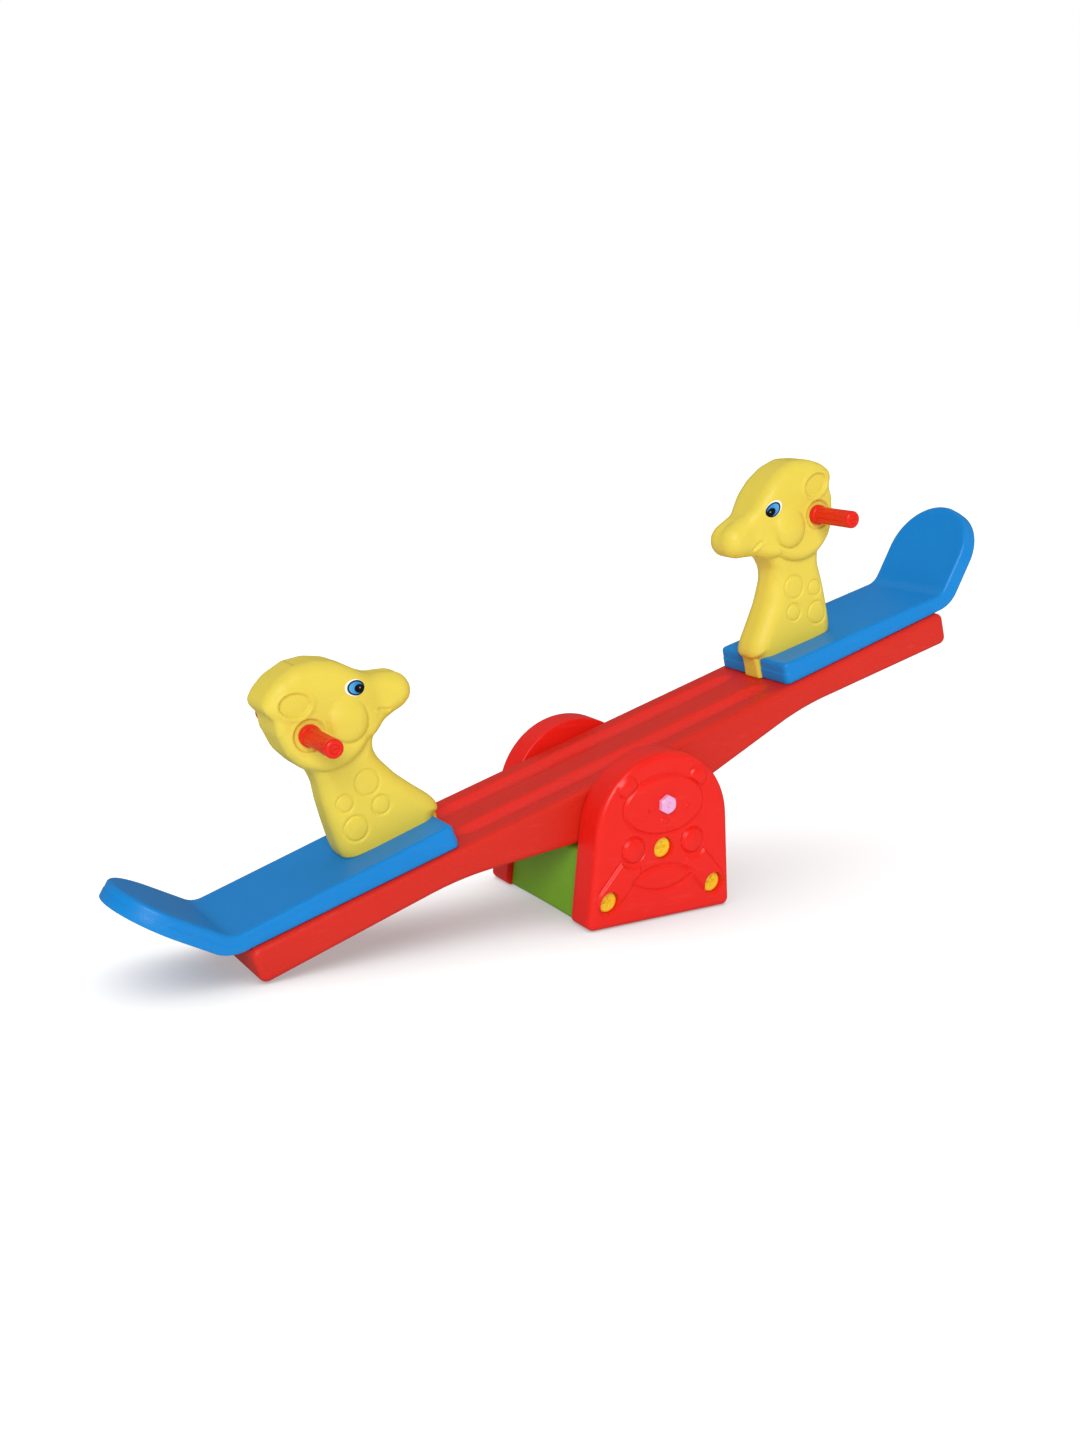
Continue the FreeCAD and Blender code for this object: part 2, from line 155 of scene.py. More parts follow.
def roundedOutline(corners):
    # straight sides joined by arcs; each corner is across, up, radius
    parts = []
    for i, (a, b, radius) in enumerate(corners):
        here = np.array([a, b], float)
        back = np.array(corners[i - 1][:2]) - here
        ahead = np.array(corners[(i + 1) % len(corners)][:2]) - here
        back, ahead = back / np.hypot(*back), ahead / np.hypot(*ahead)
        half = math.acos(float(np.clip(back @ ahead, -1, 1))) / 2
        middle = here + (back + ahead) / np.hypot(*(back + ahead)) * radius / math.sin(half)
        first = here + back * radius / math.tan(half) - middle
        last = here + ahead * radius / math.tan(half) - middle
        begin = math.atan2(first[1], first[0])
        sweep = (math.atan2(last[1], last[0]) - begin + math.pi) % (2 * math.pi) - math.pi
        angle = begin + sweep * np.linspace(0, 1, 40)
        parts.append(middle + radius * np.stack([np.cos(angle), np.sin(angle)], 1))
    return np.concatenate(parts)


def outwardNormals(outline):
    # square to the line through the two neighbours, pointing out of the closed outline
    step = np.roll(outline, -1, 0) - np.roll(outline, 1, 0)
    after = np.roll(outline, -1, 0)
    area = np.sum(outline[:, 0] * after[:, 1] - after[:, 0] * outline[:, 1])
    normal = np.stack([step[:, 1], -step[:, 0]], 1) * np.sign(area)
    return normal / np.hypot(normal[:, 0], normal[:, 1])[:, None]


def roundRim(radius, steps=9, power=2.0):
    # quarter of a rounded square: (inset, depth) from the face's edge round to the side
    t = np.linspace(0, 1, steps) * math.pi / 2
    return [(radius * (1 - math.sin(a) ** (2 / power)), radius * (1 - math.cos(a) ** (2 / power)))
            for a in t]


def slabGrid(outline, anchors, rim, faceRows, backRows):
    # rows run from the anchors out over the front face, round the rim profile (inset, depth)
    # and back in over the rear face; gives across, up, depth
    normal = outwardNormals(outline)
    steps = [(share, rim[0]) for share in np.linspace(0, 1, faceRows)[:-1]]
    steps += [(1.0, place) for place in rim]
    steps += [(share, rim[-1]) for share in np.linspace(1, 0, backRows)[1:]]
    rows = []
    for share, (inset, depth) in steps:
        edge = outline - normal * inset
        flat = anchors + (edge - anchors) * share
        rows.append(np.concatenate([flat, np.full((len(flat), 1), depth)], 1))
    return np.stack(rows)


def gather(a, b, middleA, middleB, radius, reach):
    # draws points near a circle closer to it, so that a steep wall on the circle stays crisp
    da, db = a - middleA, b - middleB
    d = np.hypot(da, db) + 1e-9
    t = np.clip((d - radius) / reach, -1, 1)
    wanted = np.where(np.abs(t) < 1, radius + reach * np.sign(t) * np.abs(t) ** 2.5, d)
    return middleA + da * wanted / d, middleB + db * wanted / d


def ellipseGap(a, b, middle, size, turn=0.0):
    # about how far a point is outside an ellipse, negative inside
    c, s = math.cos(math.radians(turn)), math.sin(math.radians(turn))
    p, q = (a - middle[0]) * c + (b - middle[1]) * s, -(a - middle[0]) * s + (b - middle[1]) * c
    near = np.hypot(p / size[0], q / size[1]) + 1e-9
    slope = np.hypot(p / size[0] ** 2, q / size[1] ** 2) + 1e-9
    return near * (near - 1) / slope


def barGap(a, b, first, last, radius):
    # how far a point is outside a round-ended bar between two places
    da, db = last[0] - first[0], last[1] - first[1]
    t = np.clip(((a - first[0]) * da + (b - first[1]) * db) / (da * da + db * db), 0, 1)
    return np.hypot(a - first[0] - da * t, b - first[1] - db * t) - radius


# finishes

def newGroup(name, inputs, outputs):
    # an empty effect with its named sockets; inputs are label, kind, starting value
    group = bpy.data.node_groups.new(name, "ShaderNodeTree")
    for label, kind, value in inputs:
        socket = group.interface.new_socket(label, in_out="INPUT", socket_type=kind)
        if value is not None:
            socket.default_value = value
    for label, kind in outputs:
        group.interface.new_socket(label, in_out="OUTPUT", socket_type=kind)
    return group, group.nodes.new("NodeGroupInput"), group.nodes.new("NodeGroupOutput")


def addNode(tree, kind, links=None, **settings):
    # one node; links is input name or number to a socket or a value
    node = tree.nodes.new(kind)
    for label, value in settings.items():
        setattr(node, label, value)
    for label, value in (links or {}).items():
        if isinstance(value, bpy.types.NodeSocket):
            tree.links.new(value, node.inputs[label])
        else:
            node.inputs[label].default_value = value
    return node


def mathNode(tree, operation, first, second=0.0, clamp=False):
    return addNode(tree, "ShaderNodeMath", {0: first, 1: second},
                   operation=operation, use_clamp=clamp).outputs[0]


def makeMouldedColour():
    # pigment that is a little uneven: broad cloudy patches and faint flow streaks
    group, given, result = newGroup("mouldedColour", [
        ("Vector", "NodeSocketVector", None), ("Color", "NodeSocketColor", (0.8, 0.1, 0.1, 1)),
        ("Cloud", "NodeSocketFloat", 0.06), ("Streak", "NodeSocketFloat", 0.03)],
        [("Color", "NodeSocketColor"), ("Shade", "NodeSocketFloat")])
    patches = addNode(group, "ShaderNodeTexNoise", {"Vector": given.outputs["Vector"], "Scale": 9.0,
                                                    "Detail": 3.0, "Roughness": 0.55})
    drawn = addNode(group, "ShaderNodeMapping", {"Vector": given.outputs["Vector"],
                                                 "Scale": (5.0, 60.0, 60.0)})
    streaks = addNode(group, "ShaderNodeTexNoise", {"Vector": drawn.outputs[0], "Scale": 1.0,
                                                    "Detail": 2.0})
    cloud = mathNode(group, "MULTIPLY", mathNode(group, "SUBTRACT", patches.outputs[0], 0.5),
                     given.outputs["Cloud"])
    streak = mathNode(group, "MULTIPLY", mathNode(group, "SUBTRACT", streaks.outputs[0], 0.5),
                      given.outputs["Streak"])
    shade = mathNode(group, "ADD", mathNode(group, "ADD", cloud, streak), 1.0)
    tinted = addNode(group, "ShaderNodeHueSaturation", {"Value": shade,
                                                        "Color": given.outputs["Color"]})
    group.links.new(tinted.outputs[0], result.inputs["Color"])
    group.links.new(patches.outputs[0], result.inputs["Shade"])
    return group


def makeStipple():
    # the fine pitted texture of a blow mould: small cells over finer noise
    group, given, result = newGroup("stipple", [
        ("Vector", "NodeSocketVector", None), ("Scale", "NodeSocketFloat", 450.0)],
        [("Height", "NodeSocketFloat")])
    cells = addNode(group, "ShaderNodeTexVoronoi", {"Vector": given.outputs["Vector"],
                                                    "Scale": given.outputs["Scale"]})
    fine = addNode(group, "ShaderNodeTexNoise", {
        "Vector": given.outputs["Vector"], "Detail": 2.0,
        "Scale": mathNode(group, "MULTIPLY", given.outputs["Scale"], 1.7)})
    height = mathNode(group, "ADD", mathNode(group, "MULTIPLY", cells.outputs["Distance"], 0.7),
                      mathNode(group, "MULTIPLY", fine.outputs[0], 0.6))
    group.links.new(height, result.inputs["Height"])
    return group


def makeScuffs():
    # faint rubbed marks: thin stretched noise kept only where it peaks
    group, given, result = newGroup("scuffs", [
        ("Vector", "NodeSocketVector", None), ("Amount", "NodeSocketFloat", 0.5)],
        [("Mask", "NodeSocketFloat")])
    drawn = addNode(group, "ShaderNodeMapping", {"Vector": given.outputs["Vector"],
                                                 "Rotation": (0.3, 0.2, 0.6),
                                                 "Scale": (14.0, 160.0, 120.0)})
    marks = addNode(group, "ShaderNodeTexNoise", {"Vector": drawn.outputs[0], "Scale": 1.0,
                                                  "Detail": 4.0, "Roughness": 0.6})
    kept = addNode(group, "ShaderNodeMapRange", {"Value": marks.outputs[0], "From Min": 0.6,
                                                 "From Max": 0.74})
    group.links.new(mathNode(group, "MULTIPLY", kept.outputs[0], given.outputs["Amount"]),
                    result.inputs["Mask"])
    return group


mouldedColour, stipple, scuffs = makeMouldedColour(), makeStipple(), makeScuffs()


def groupNode(tree, group, links):
    return addNode(tree, "ShaderNodeGroup", links, node_tree=group)


def mixColour(tree, factor, below, above):
    # shows the colour below at 0 and the one above at 1
    return addNode(tree, "ShaderNodeMix", {"Factor": factor, "A": below, "B": above},
                   data_type="RGBA").outputs["Result"]


def srgb(code):
    # hex colour to the linear values that shaders use
    value = np.array([int(code[k:k + 2], 16) / 255 for k in (1, 3, 5)])
    linear = np.where(value <= 0.04045, value / 12.92, ((value + 0.055) / 1.055) ** 2.4)
    return (*linear.tolist(), 1.0)


rubbed = {"colour": (0.9, 0.88, 0.86, 1.0), "paler": 0.25, "rougher": 0.2}   # where marks show
mouldSkin = {"ior": 1.5, "shine": 0.30, "pitDepth": 0.0006}


def makePlastic(name, look, paintedLightBand=None):
    # moulded plastic: uneven pigment, stippled skin and rubbed marks on its gloss
    material = bpy.data.materials.new(name)
    material.use_nodes = True
    tree = material.node_tree
    shader = tree.nodes["Principled BSDF"]
    place = addNode(tree, "ShaderNodeTexCoord").outputs["Object"]
    base = srgb(look["colour"])
    if paintedLightBand:   # a lighter red painted where the piece's own attribute says so, standing in for light bounced inside the beam's channels
        mask = addNode(tree, "ShaderNodeAttribute", attribute_name=paintedLightBand["attribute"]).outputs["Fac"]
        base = mixColour(tree, mask, base, srgb(paintedLightBand["colour"]))
    colour = groupNode(tree, mouldedColour, {"Vector": place, "Color": base,
                                             "Cloud": look["cloud"], "Streak": look["streak"]})
    marks = groupNode(tree, scuffs, {"Vector": place, "Amount": look["scuff"]})
    paler = mixColour(tree, mathNode(tree, "MULTIPLY", marks.outputs[0], rubbed["paler"]),
                      colour.outputs["Color"], rubbed["colour"])
    tree.links.new(paler, shader.inputs["Base Color"])
    rough = mathNode(tree, "ADD", mathNode(tree, "MULTIPLY", colour.outputs["Shade"], look["patchy"]),
                     look["rough"] - look["patchy"] / 2)
    worn = mathNode(tree, "MULTIPLY", marks.outputs[0], rubbed["rougher"])
    rough = mathNode(tree, "ADD", rough, worn, clamp=True)
    if paintedLightBand:
        rough = mathNode(tree, "ADD", rough, mathNode(tree, "MULTIPLY", mask, paintedLightBand["rougher"]))
    tree.links.new(rough, shader.inputs["Roughness"])
    skin = groupNode(tree, stipple, {"Vector": place, "Scale": look["grain"]})
    bump = addNode(tree, "ShaderNodeBump", {"Height": skin.outputs[0], "Strength": look["bump"],
                                            "Distance": mouldSkin["pitDepth"]})
    tree.links.new(bump.outputs[0], shader.inputs["Normal"])
    shader.inputs["IOR"].default_value = mouldSkin["ior"]
    shader.inputs["Specular IOR Level"].default_value = mouldSkin["shine"]
    return material


plastics = {
    "panelRed": {"colour": "#E01C12", "rough": 0.34, "patchy": 0.12, "cloud": 0.10, "streak": 0.04,
                 "scuff": 0.07, "grain": 420.0, "bump": 0.10},
    "beamRed": {"colour": "#CB2212", "rough": 0.46, "patchy": 0.14, "cloud": 0.12, "streak": 0.05,
                "scuff": 0.06, "grain": 330.0, "bump": 0.75},
    "boxGreen": {"colour": "#6FA81F", "rough": 0.42, "patchy": 0.12, "cloud": 0.12, "streak": 0.05,
                 "scuff": 0.07, "grain": 380.0, "bump": 0.28},
    "seatBlue": {"colour": "#057DC8", "rough": 0.38, "patchy": 0.12, "cloud": 0.10, "streak": 0.03,
                 "scuff": 0.05, "grain": 360.0, "bump": 0.36},
    "headYellow": {"colour": "#DCC648", "rough": 0.42, "patchy": 0.10, "cloud": 0.08, "streak": 0.03,
                   "scuff": 0.06, "grain": 420.0, "bump": 0.45},
    "gripRed": {"colour": "#DC2010", "rough": 0.32, "patchy": 0.10, "cloud": 0.08, "streak": 0.04,
                "scuff": 0.07, "grain": 520.0, "bump": 0.10},
    "screwYellow": {"colour": "#E6BE28", "rough": 0.34, "patchy": 0.10, "cloud": 0.10, "streak": 0.03,
                    "scuff": 0.07, "grain": 520.0, "bump": 0.10},
    "capPink": {"colour": "#DDA2CB", "rough": 0.36, "patchy": 0.10, "cloud": 0.10, "streak": 0.03,
                "scuff": 0.06, "grain": 520.0, "bump": 0.10},
    "bushWhite": {"colour": "#E9E7E0", "rough": 0.40, "patchy": 0.10, "cloud": 0.08, "streak": 0.05,
                  "scuff": 0.08, "grain": 500.0, "bump": 0.12},
}
# painted light: the channels get a lighter, more saturated red for the light bounced inside them, the flat
# bands beside keep the duller red of their sheen
channelPaintedLight = {"attribute": "channel", "colour": "#E0241A", "rougher": -0.05}
finish = {name: makePlastic(name, look, channelPaintedLight if name == "beamRed" else None)
          for name, look in plastics.items()}

steel = {"colour": "#B9BBBD", "cloud": 0.35, "streak": 0.15, "scuff": 1.0, "rough": 0.22, "patchy": 0.2,
         "rougher": 0.25, "rings": 260.0, "ringBump": 0.1}


def makeSteel():
    # zinc-plated rod: turned rings along its length and cloudy plating
    material = bpy.data.materials.new("platedSteel")
    material.use_nodes = True
    tree = material.node_tree
    shader = tree.nodes["Principled BSDF"]
    place = addNode(tree, "ShaderNodeTexCoord").outputs["Object"]
    colour = groupNode(tree, mouldedColour, {"Vector": place, "Color": srgb(steel["colour"]),
                                             "Cloud": steel["cloud"], "Streak": steel["streak"]})
    marks = groupNode(tree, scuffs, {"Vector": place, "Amount": steel["scuff"]})
    tree.links.new(colour.outputs["Color"], shader.inputs["Base Color"])
    rough = mathNode(tree, "ADD", mathNode(tree, "MULTIPLY", colour.outputs["Shade"], steel["patchy"]),
                     steel["rough"])
    worn = mathNode(tree, "MULTIPLY", marks.outputs[0], steel["rougher"])
    tree.links.new(mathNode(tree, "ADD", rough, worn), shader.inputs["Roughness"])
    turned = addNode(tree, "ShaderNodeTexWave", {"Vector": place, "Scale": steel["rings"],
                                                 "Distortion": 1.5}, bands_direction="Y")
    bump = addNode(tree, "ShaderNodeBump", {"Height": turned.outputs["Fac"],
                                            "Strength": steel["ringBump"], "Distance": 0.0003})
    tree.links.new(bump.outputs[0], shader.inputs["Normal"])
    shader.inputs["Metallic"].default_value = 1.0
    return material


finish["platedSteel"] = makeSteel()

eyePrint = {"white": "#F4F4F2", "ring": "#101830", "iris": "#1F7FC4", "irisLight": "#4FA9DE",
            "pupil": "#060608", "ringSize": 0.92, "irisSize": 0.73, "pupilSize": 0.52,
            "pupilPlace": (0.73, 0.45), "ringPlace": (0.565, 0.49), "glint": 0.07,
            "glintPlace": (0.76, 0.50), "glintColour": (0.35, 0.4, 0.45, 1.0), "rough": 0.28}


def makeEyePrint():
    # printed eye with a painted highlight: discs cut by distance in the piece's own UV map, which puts the
    # front at 1
    material = bpy.data.materials.new("eyePrint")
    material.use_nodes = True
    tree = material.node_tree
    shader = tree.nodes["Principled BSDF"]
    uv = addNode(tree, "ShaderNodeUVMap", uv_map="face").outputs[0]

    def disc(place, size, soft=0.03):
        away = addNode(tree, "ShaderNodeVectorMath", {0: uv, 1: (*place, 0.0)}, operation="DISTANCE")
        inside = addNode(tree, "ShaderNodeMapRange", {"Value": away.outputs["Value"],
                                                      "From Min": size / 2 + soft / 2,
                                                      "From Max": size / 2 - soft / 2})
        return inside.outputs[0]

    # the iris pales towards the back of the eye, unevenly
    across = addNode(tree, "ShaderNodeSeparateXYZ", {0: uv}).outputs["X"]
    fade = addNode(tree, "ShaderNodeMapRange", {"Value": across, "From Min": 0.62, "From Max": 0.22})
    rays = addNode(tree, "ShaderNodeTexNoise", {"Vector": uv, "Scale": 26.0, "Detail": 2.0})
    uneven = mathNode(tree, "MULTIPLY", mathNode(tree, "SUBTRACT", rays.outputs[0], 0.5), 0.5)
    iris = mixColour(tree, mathNode(tree, "ADD", fade.outputs[0], uneven, clamp=True),
                     srgb(eyePrint["iris"]), srgb(eyePrint["irisLight"]))
    colour = srgb(eyePrint["white"])
    # the last disc, the glint, is a painted highlight beside the pupil
    for place, size, ink in ((eyePrint["ringPlace"], eyePrint["ringSize"], srgb(eyePrint["ring"])),
                             (eyePrint["ringPlace"], eyePrint["irisSize"], iris),
                             (eyePrint["pupilPlace"], eyePrint["pupilSize"], srgb(eyePrint["pupil"])),
                             (eyePrint["glintPlace"], eyePrint["glint"], eyePrint["glintColour"])):
        colour = mixColour(tree, disc(place, size), colour, ink)
    tree.links.new(colour, shader.inputs["Base Color"])
    marks = groupNode(tree, scuffs, {"Vector": addNode(tree, "ShaderNodeTexCoord").outputs["Object"],
                                     "Amount": 0.6})
    worn = mathNode(tree, "MULTIPLY", marks.outputs[0], rubbed["rougher"])
    tree.links.new(mathNode(tree, "ADD", worn, eyePrint["rough"]), shader.inputs["Roughness"])
    return material


finish["eyePrint"] = makeEyePrint()
print("finishes made:", len(finish))


# side panels with the bear

panel = {"halfWidth": 134.0, "top": 267.0, "crown": 122.0, "foot": 12.0, "face": 152.0,
         "thick": 53.0, "rim": 11.6, "backEdge": 2.0, "middle": 130.0, "wallRows": (26.0, 38.0),
         "columns": 560, "faceRows": 92,
         "screws": [(-98.0, 43.0), (98.0, 43.0), (0.0, 114.7)], "well": 17.8, "wellDepth": 14.0,
         "lip": 0.8}
bear = {"face": ((-1.5, 185.0), (73.0, 46.0)), "faceHigh": 3.2,
        "ear": (65.0, 221.0, 17.0), "earShift": -4.0, "earHigh": 4.6,
        "eye": (37.0, 179.0, 4.6), "eyeShift": 2.5, "eyeHigh": 1.9, "lid": 9.5,
        "nose": ((-2.0, 161.0), (9.0, 6.0)), "noseHigh": 2.6, "mouth": ((3.0, 145.0), (17.0, 145.5)),
        "paw": (55.0, 119.5, 20.0), "pawHigh": 5.5, "pawClear": 27.0,
        "leg": ((64.0, 87.0), (98.0, 48.0), 21.5), "legHigh": 3.4,
        "tummy": (58.0, 20.0, 68.0), "tummyHigh": 1.4, "crease": 2.2}


def bearHeight(a, b):
    # each feature is a low dome, the higher one wins, and a crease runs round its edge
    side = np.abs(a)
    faceGap = ellipseGap(a, b, *bear["face"])
    height = bear["faceHigh"] * ramp(-faceGap, -1.0, 3.5)
    crease = bell(faceGap - 1.0, 2.6) * 0.6
    # the ears go behind the face
    earSide, earUp, earRadius = bear["ear"]
    earGap = np.hypot(np.abs(a - bear["earShift"]) - earSide, b - earUp) - earRadius
    behind = ramp(faceGap, -1.0, 3.0)
    ear = bear["earHigh"] * np.sqrt(np.clip(-earGap / earRadius, 0, 1) ** 0.8)
    height = np.maximum(height, ear * behind)
    crease = np.maximum(crease, bell(earGap, 2.0) * 0.7 * behind)
    # the legs are bars cut off round the paws
    pawSide, pawUp, pawRadius = bear["paw"]
    pawAway = np.hypot(side - pawSide, b - pawUp)
    legGap = np.maximum(barGap(side, b, *bear["leg"]), bear["pawClear"] - pawAway)
    height = np.maximum(height, bear["legHigh"] * ramp(-legGap, -1.0, 3.6))
    crease = np.maximum(crease, bell(legGap - 0.5, 2.2) * 0.6 * ramp(side, 52.0, 66.0))
    pawGap = pawAway - pawRadius
    paw = bear["pawHigh"] * np.sqrt(np.clip(-pawGap / pawRadius, 0, 1))
    height = np.where(pawGap < 0, np.maximum(paw, 0.4 * height), height)
    crease = np.maximum(crease, bell(pawGap - 0.3, 2.0))
    # the tummy is the lens where two equal circles cross
    wide, high, middle = bear["tummy"]
    radius = (wide ** 2 + high ** 2) / (2 * high)
    tummyGap = np.maximum(np.hypot(a, b - middle - high + radius),
                          np.hypot(a, b - middle + high - radius)) - radius
    height = np.maximum(height, bear["tummyHigh"] * ramp(-tummyGap, 0.0, 9.0))
    crease = np.maximum(crease, bell(tummyGap, 2.1))
    # dot eyes under a faint lid line, then the nose and the mouth
    eyeSide, eyeUp, eyeRadius = bear["eye"]
    eyeAcross = np.abs(a - bear["eyeShift"]) - eyeSide
    height = height + bear["eyeHigh"] * ramp(-np.hypot(eyeAcross, b - eyeUp), -eyeRadius, -1.0)
    lid = np.hypot(eyeAcross, b - eyeUp - 3.0) - bear["lid"]
    crease = np.maximum(crease, bell(lid, 1.3) * 0.25 * ramp(eyeUp - b, 1.0, 5.0))
    height = height + bear["noseHigh"] * ramp(-ellipseGap(a, b, *bear["nose"]), -1.0, 4.0)
    crease = np.maximum(crease, bell(barGap(a, b, *bear["mouth"], 0.0), 1.8) * 0.7)
    return height - bear["crease"] * crease


def makePanelMesh(turn):
    # an arch outline with a rounded rim; the bear and the screw wells move its face in and out
    crownUp = panel["top"] - panel["crown"]
    rise = math.atan2(crownUp, panel["halfWidth"]) + math.asin(
        panel["crown"] / math.hypot(panel["halfWidth"], crownUp))
    half, apex = panel["halfWidth"], panel["halfWidth"] * math.tan(rise)
    outline = resample(roundedOutline([(-half, 0, panel["foot"]), (half, 0, panel["foot"]),
                                       (0, apex, panel["crown"])]), panel["columns"])
    anchors = np.tile([[0.0, panel["middle"]]], (len(outline), 1))
    back = [(inset, panel["thick"] - depth) for inset, depth in reversed(roundRim(panel["backEdge"], 4))]
    rim = roundRim(panel["rim"], 13, 2.2) + [(0.0, depth) for depth in panel["wallRows"]] + back
    grid = slabGrid(outline, anchors, rim, panel["faceRows"], 12)
    rows = panel["faceRows"] + 6   # the face and the first steps of the rim
    a, b, depth = grid[:rows, :, 0], grid[:rows, :, 1], grid[:rows, :, 2]
    for x, z in panel["screws"]:
        a, b = gather(a, b, x, z, panel["well"], 5.0)
    fade = ramp(np.linspace(rows, 1, rows), 0, 9)[:, None]   # no relief on the rim
    depth = depth - bearHeight(a, b) * fade
    for x, z in panel["screws"]:
        d = np.hypot(a - x, b - z)
        edge = depth + panel["lip"] * bell(d - panel["well"] - 1.2, 1.6)
        wall = ramp(d, panel["well"] - 0.8, panel["well"])
        depth = np.where(d < panel["well"], panel["wellDepth"] - wall * (panel["wellDepth"] - edge), edge)
    grid[:rows, :, 0], grid[:rows, :, 1], grid[:rows, :, 2] = a, b, depth
    shell = np.stack([grid[..., 0], grid[..., 2] - panel["face"], grid[..., 1]], -1)
    return makeMesh("sidePanel", [(turn(shell), True)])


for name, turn in sides:
    mesh = makePanelMesh(turn)
    tidyMesh(mesh, sharp=50)
    addPiece("sidePanel" + name, mesh, finish["panelRed"], "base",
             "side_panel_" + name.lower())
print("side panels made")


# green box between the panels

box = {"foot": 124.0, "shoulder": 114.0, "footRadius": 6.0, "eaveRadius": 12.0, "ridgeRadius": 32.0,
       "halfWidth": 98.9, "edge": 3.0, "middle": 60.0, "sink": 1.6, "columns": 420, "clearance": 6.4}


def makeBoxMesh():
    # a low roof outline carried across, its edges softened; it follows the belly at either tilt
    tilt = rest["tilt"]
    ridge = rest["pivotHeight"] - belly["depth"] / math.cos(tilt) - box["clearance"]
    slope = (belly["bendUnder"] + belly["depth"]) / (belly["bendAt"] - belly["half"])
    eave = (ridge - belly["half"] * math.tan(tilt)
            - (box["foot"] - belly["half"]) * (math.tan(tilt) - slope))
    outline = resample(roundedOutline([
        (-box["foot"], 0, box["footRadius"]), (box["foot"], 0, box["footRadius"]),
        (box["shoulder"], eave, box["eaveRadius"]), (0, ridge, box["ridgeRadius"]),
        (-box["shoulder"], eave, box["eaveRadius"])]), box["columns"])
    anchors = np.tile([[0.0, box["middle"]]], (len(outline), 1))
    first = roundRim(box["edge"], 5)
    width = 2 * box["halfWidth"]
    middle = [(0.0, d) for d in np.linspace(box["edge"], width - box["edge"], 26)[1:-1]]
    rim = first + middle + [(inset, width - depth) for inset, depth in reversed(first)]
    grid = slabGrid(outline, anchors, rim, 10, 10)
    # the long walls draw in a little between the panels, as a blown box does
    across = (grid[..., 2] - box["halfWidth"]) / box["halfWidth"]
    sink = box["sink"] * (1 - across ** 2) * ramp(np.abs(grid[..., 0]), 90, 116)
    x = grid[..., 0] - np.sign(grid[..., 0]) * sink
    shell = np.stack([x, grid[..., 2] - box["halfWidth"], grid[..., 1]], -1)
    return makeMesh("centerBox", [(shell, True)])


mesh = makeBoxMesh()
tidyMesh(mesh, sharp=50)
addPiece("centerBox", mesh, finish["boxGreen"], "base", "center_box")
print("box made")


# panel screws and axle caps

screw = {"radius": 17.0, "edge": 2.2, "dome": 0.5, "ring": 0.35, "thick": 7.0, "recess": 7.0,
         "slotLong": 18.0, "slotWide": 4.0, "slotDeep": 3.2, "shank": 6.0, "shankEnd": 73.0, "tip": 2.0,
         "columns": 144, "rows": 46}


def makeScrewGrid(x, z):
    # a round head with a cross sunk in its low dome, then the shank, closed at its tip
    turn = np.linspace(0, 2 * math.pi, screw["columns"], endpoint=False)[None, :]
    out = (np.linspace(0, 1, screw["rows"]) * (screw["radius"] - screw["edge"]))[:, None]
    a, b = out * np.cos(turn), out * np.sin(turn)
    face = screw["dome"] * (out / screw["radius"]) ** 2 + 0 * turn
    long, wide = screw["slotLong"] / 2, screw["slotWide"] / 2
    gap = np.minimum(np.maximum(np.abs(a) - long, np.abs(b) - wide),
                     np.maximum(np.abs(b) - long, np.abs(a) - wide))
    face = face + screw["slotDeep"] * ramp(-gap, -0.4, 0.7)
    face = face - screw["ring"] * bell(out - 0.80 * screw["radius"], 1.4)   # raised, near the edge
    rim = roundRim(screw["edge"], 6)
    side = [(screw["radius"] - inset, screw["dome"] + depth) for inset, depth in rim[1:]]
    side += [(screw["radius"], screw["thick"]), (screw["shank"], screw["thick"]),
             (screw["shank"], screw["shankEnd"] - screw["tip"]),
             (screw["shank"] - screw["tip"], screw["shankEnd"]), (0.0, screw["shankEnd"])]
    rows = [np.stack([r * np.cos(turn[0]), r * np.sin(turn[0]), np.full(turn.shape[1], d)], 1)
            for r, d in side]
    grid = np.concatenate([np.stack([a, b, face], -1), np.stack(rows)])
    depth = grid[..., 2] + screw["recess"] - panel["face"]
    return np.stack([grid[..., 0] + x, depth, grid[..., 1] + z], -1)


for name, turn in sides:
    grids = [(turn(makeScrewGrid(x, z)), True) for x, z in panel["screws"]]
    mesh = makeMesh("panelScrews", grids)
    tidyMesh(mesh, weld=0.000008, sharp=55)
    addPiece("panelScrews" + name, mesh, finish["screwYellow"], "base",
             "panel_screws_" + name.lower())


cap = {"acrossFlats": 26.5, "high": 12.0, "corner": 1.6, "chamfer": 0.9, "fallFrom": 11.6, "fall": 0.75,
       "dimple": 1.6, "lip": 0.4, "columns": 180}


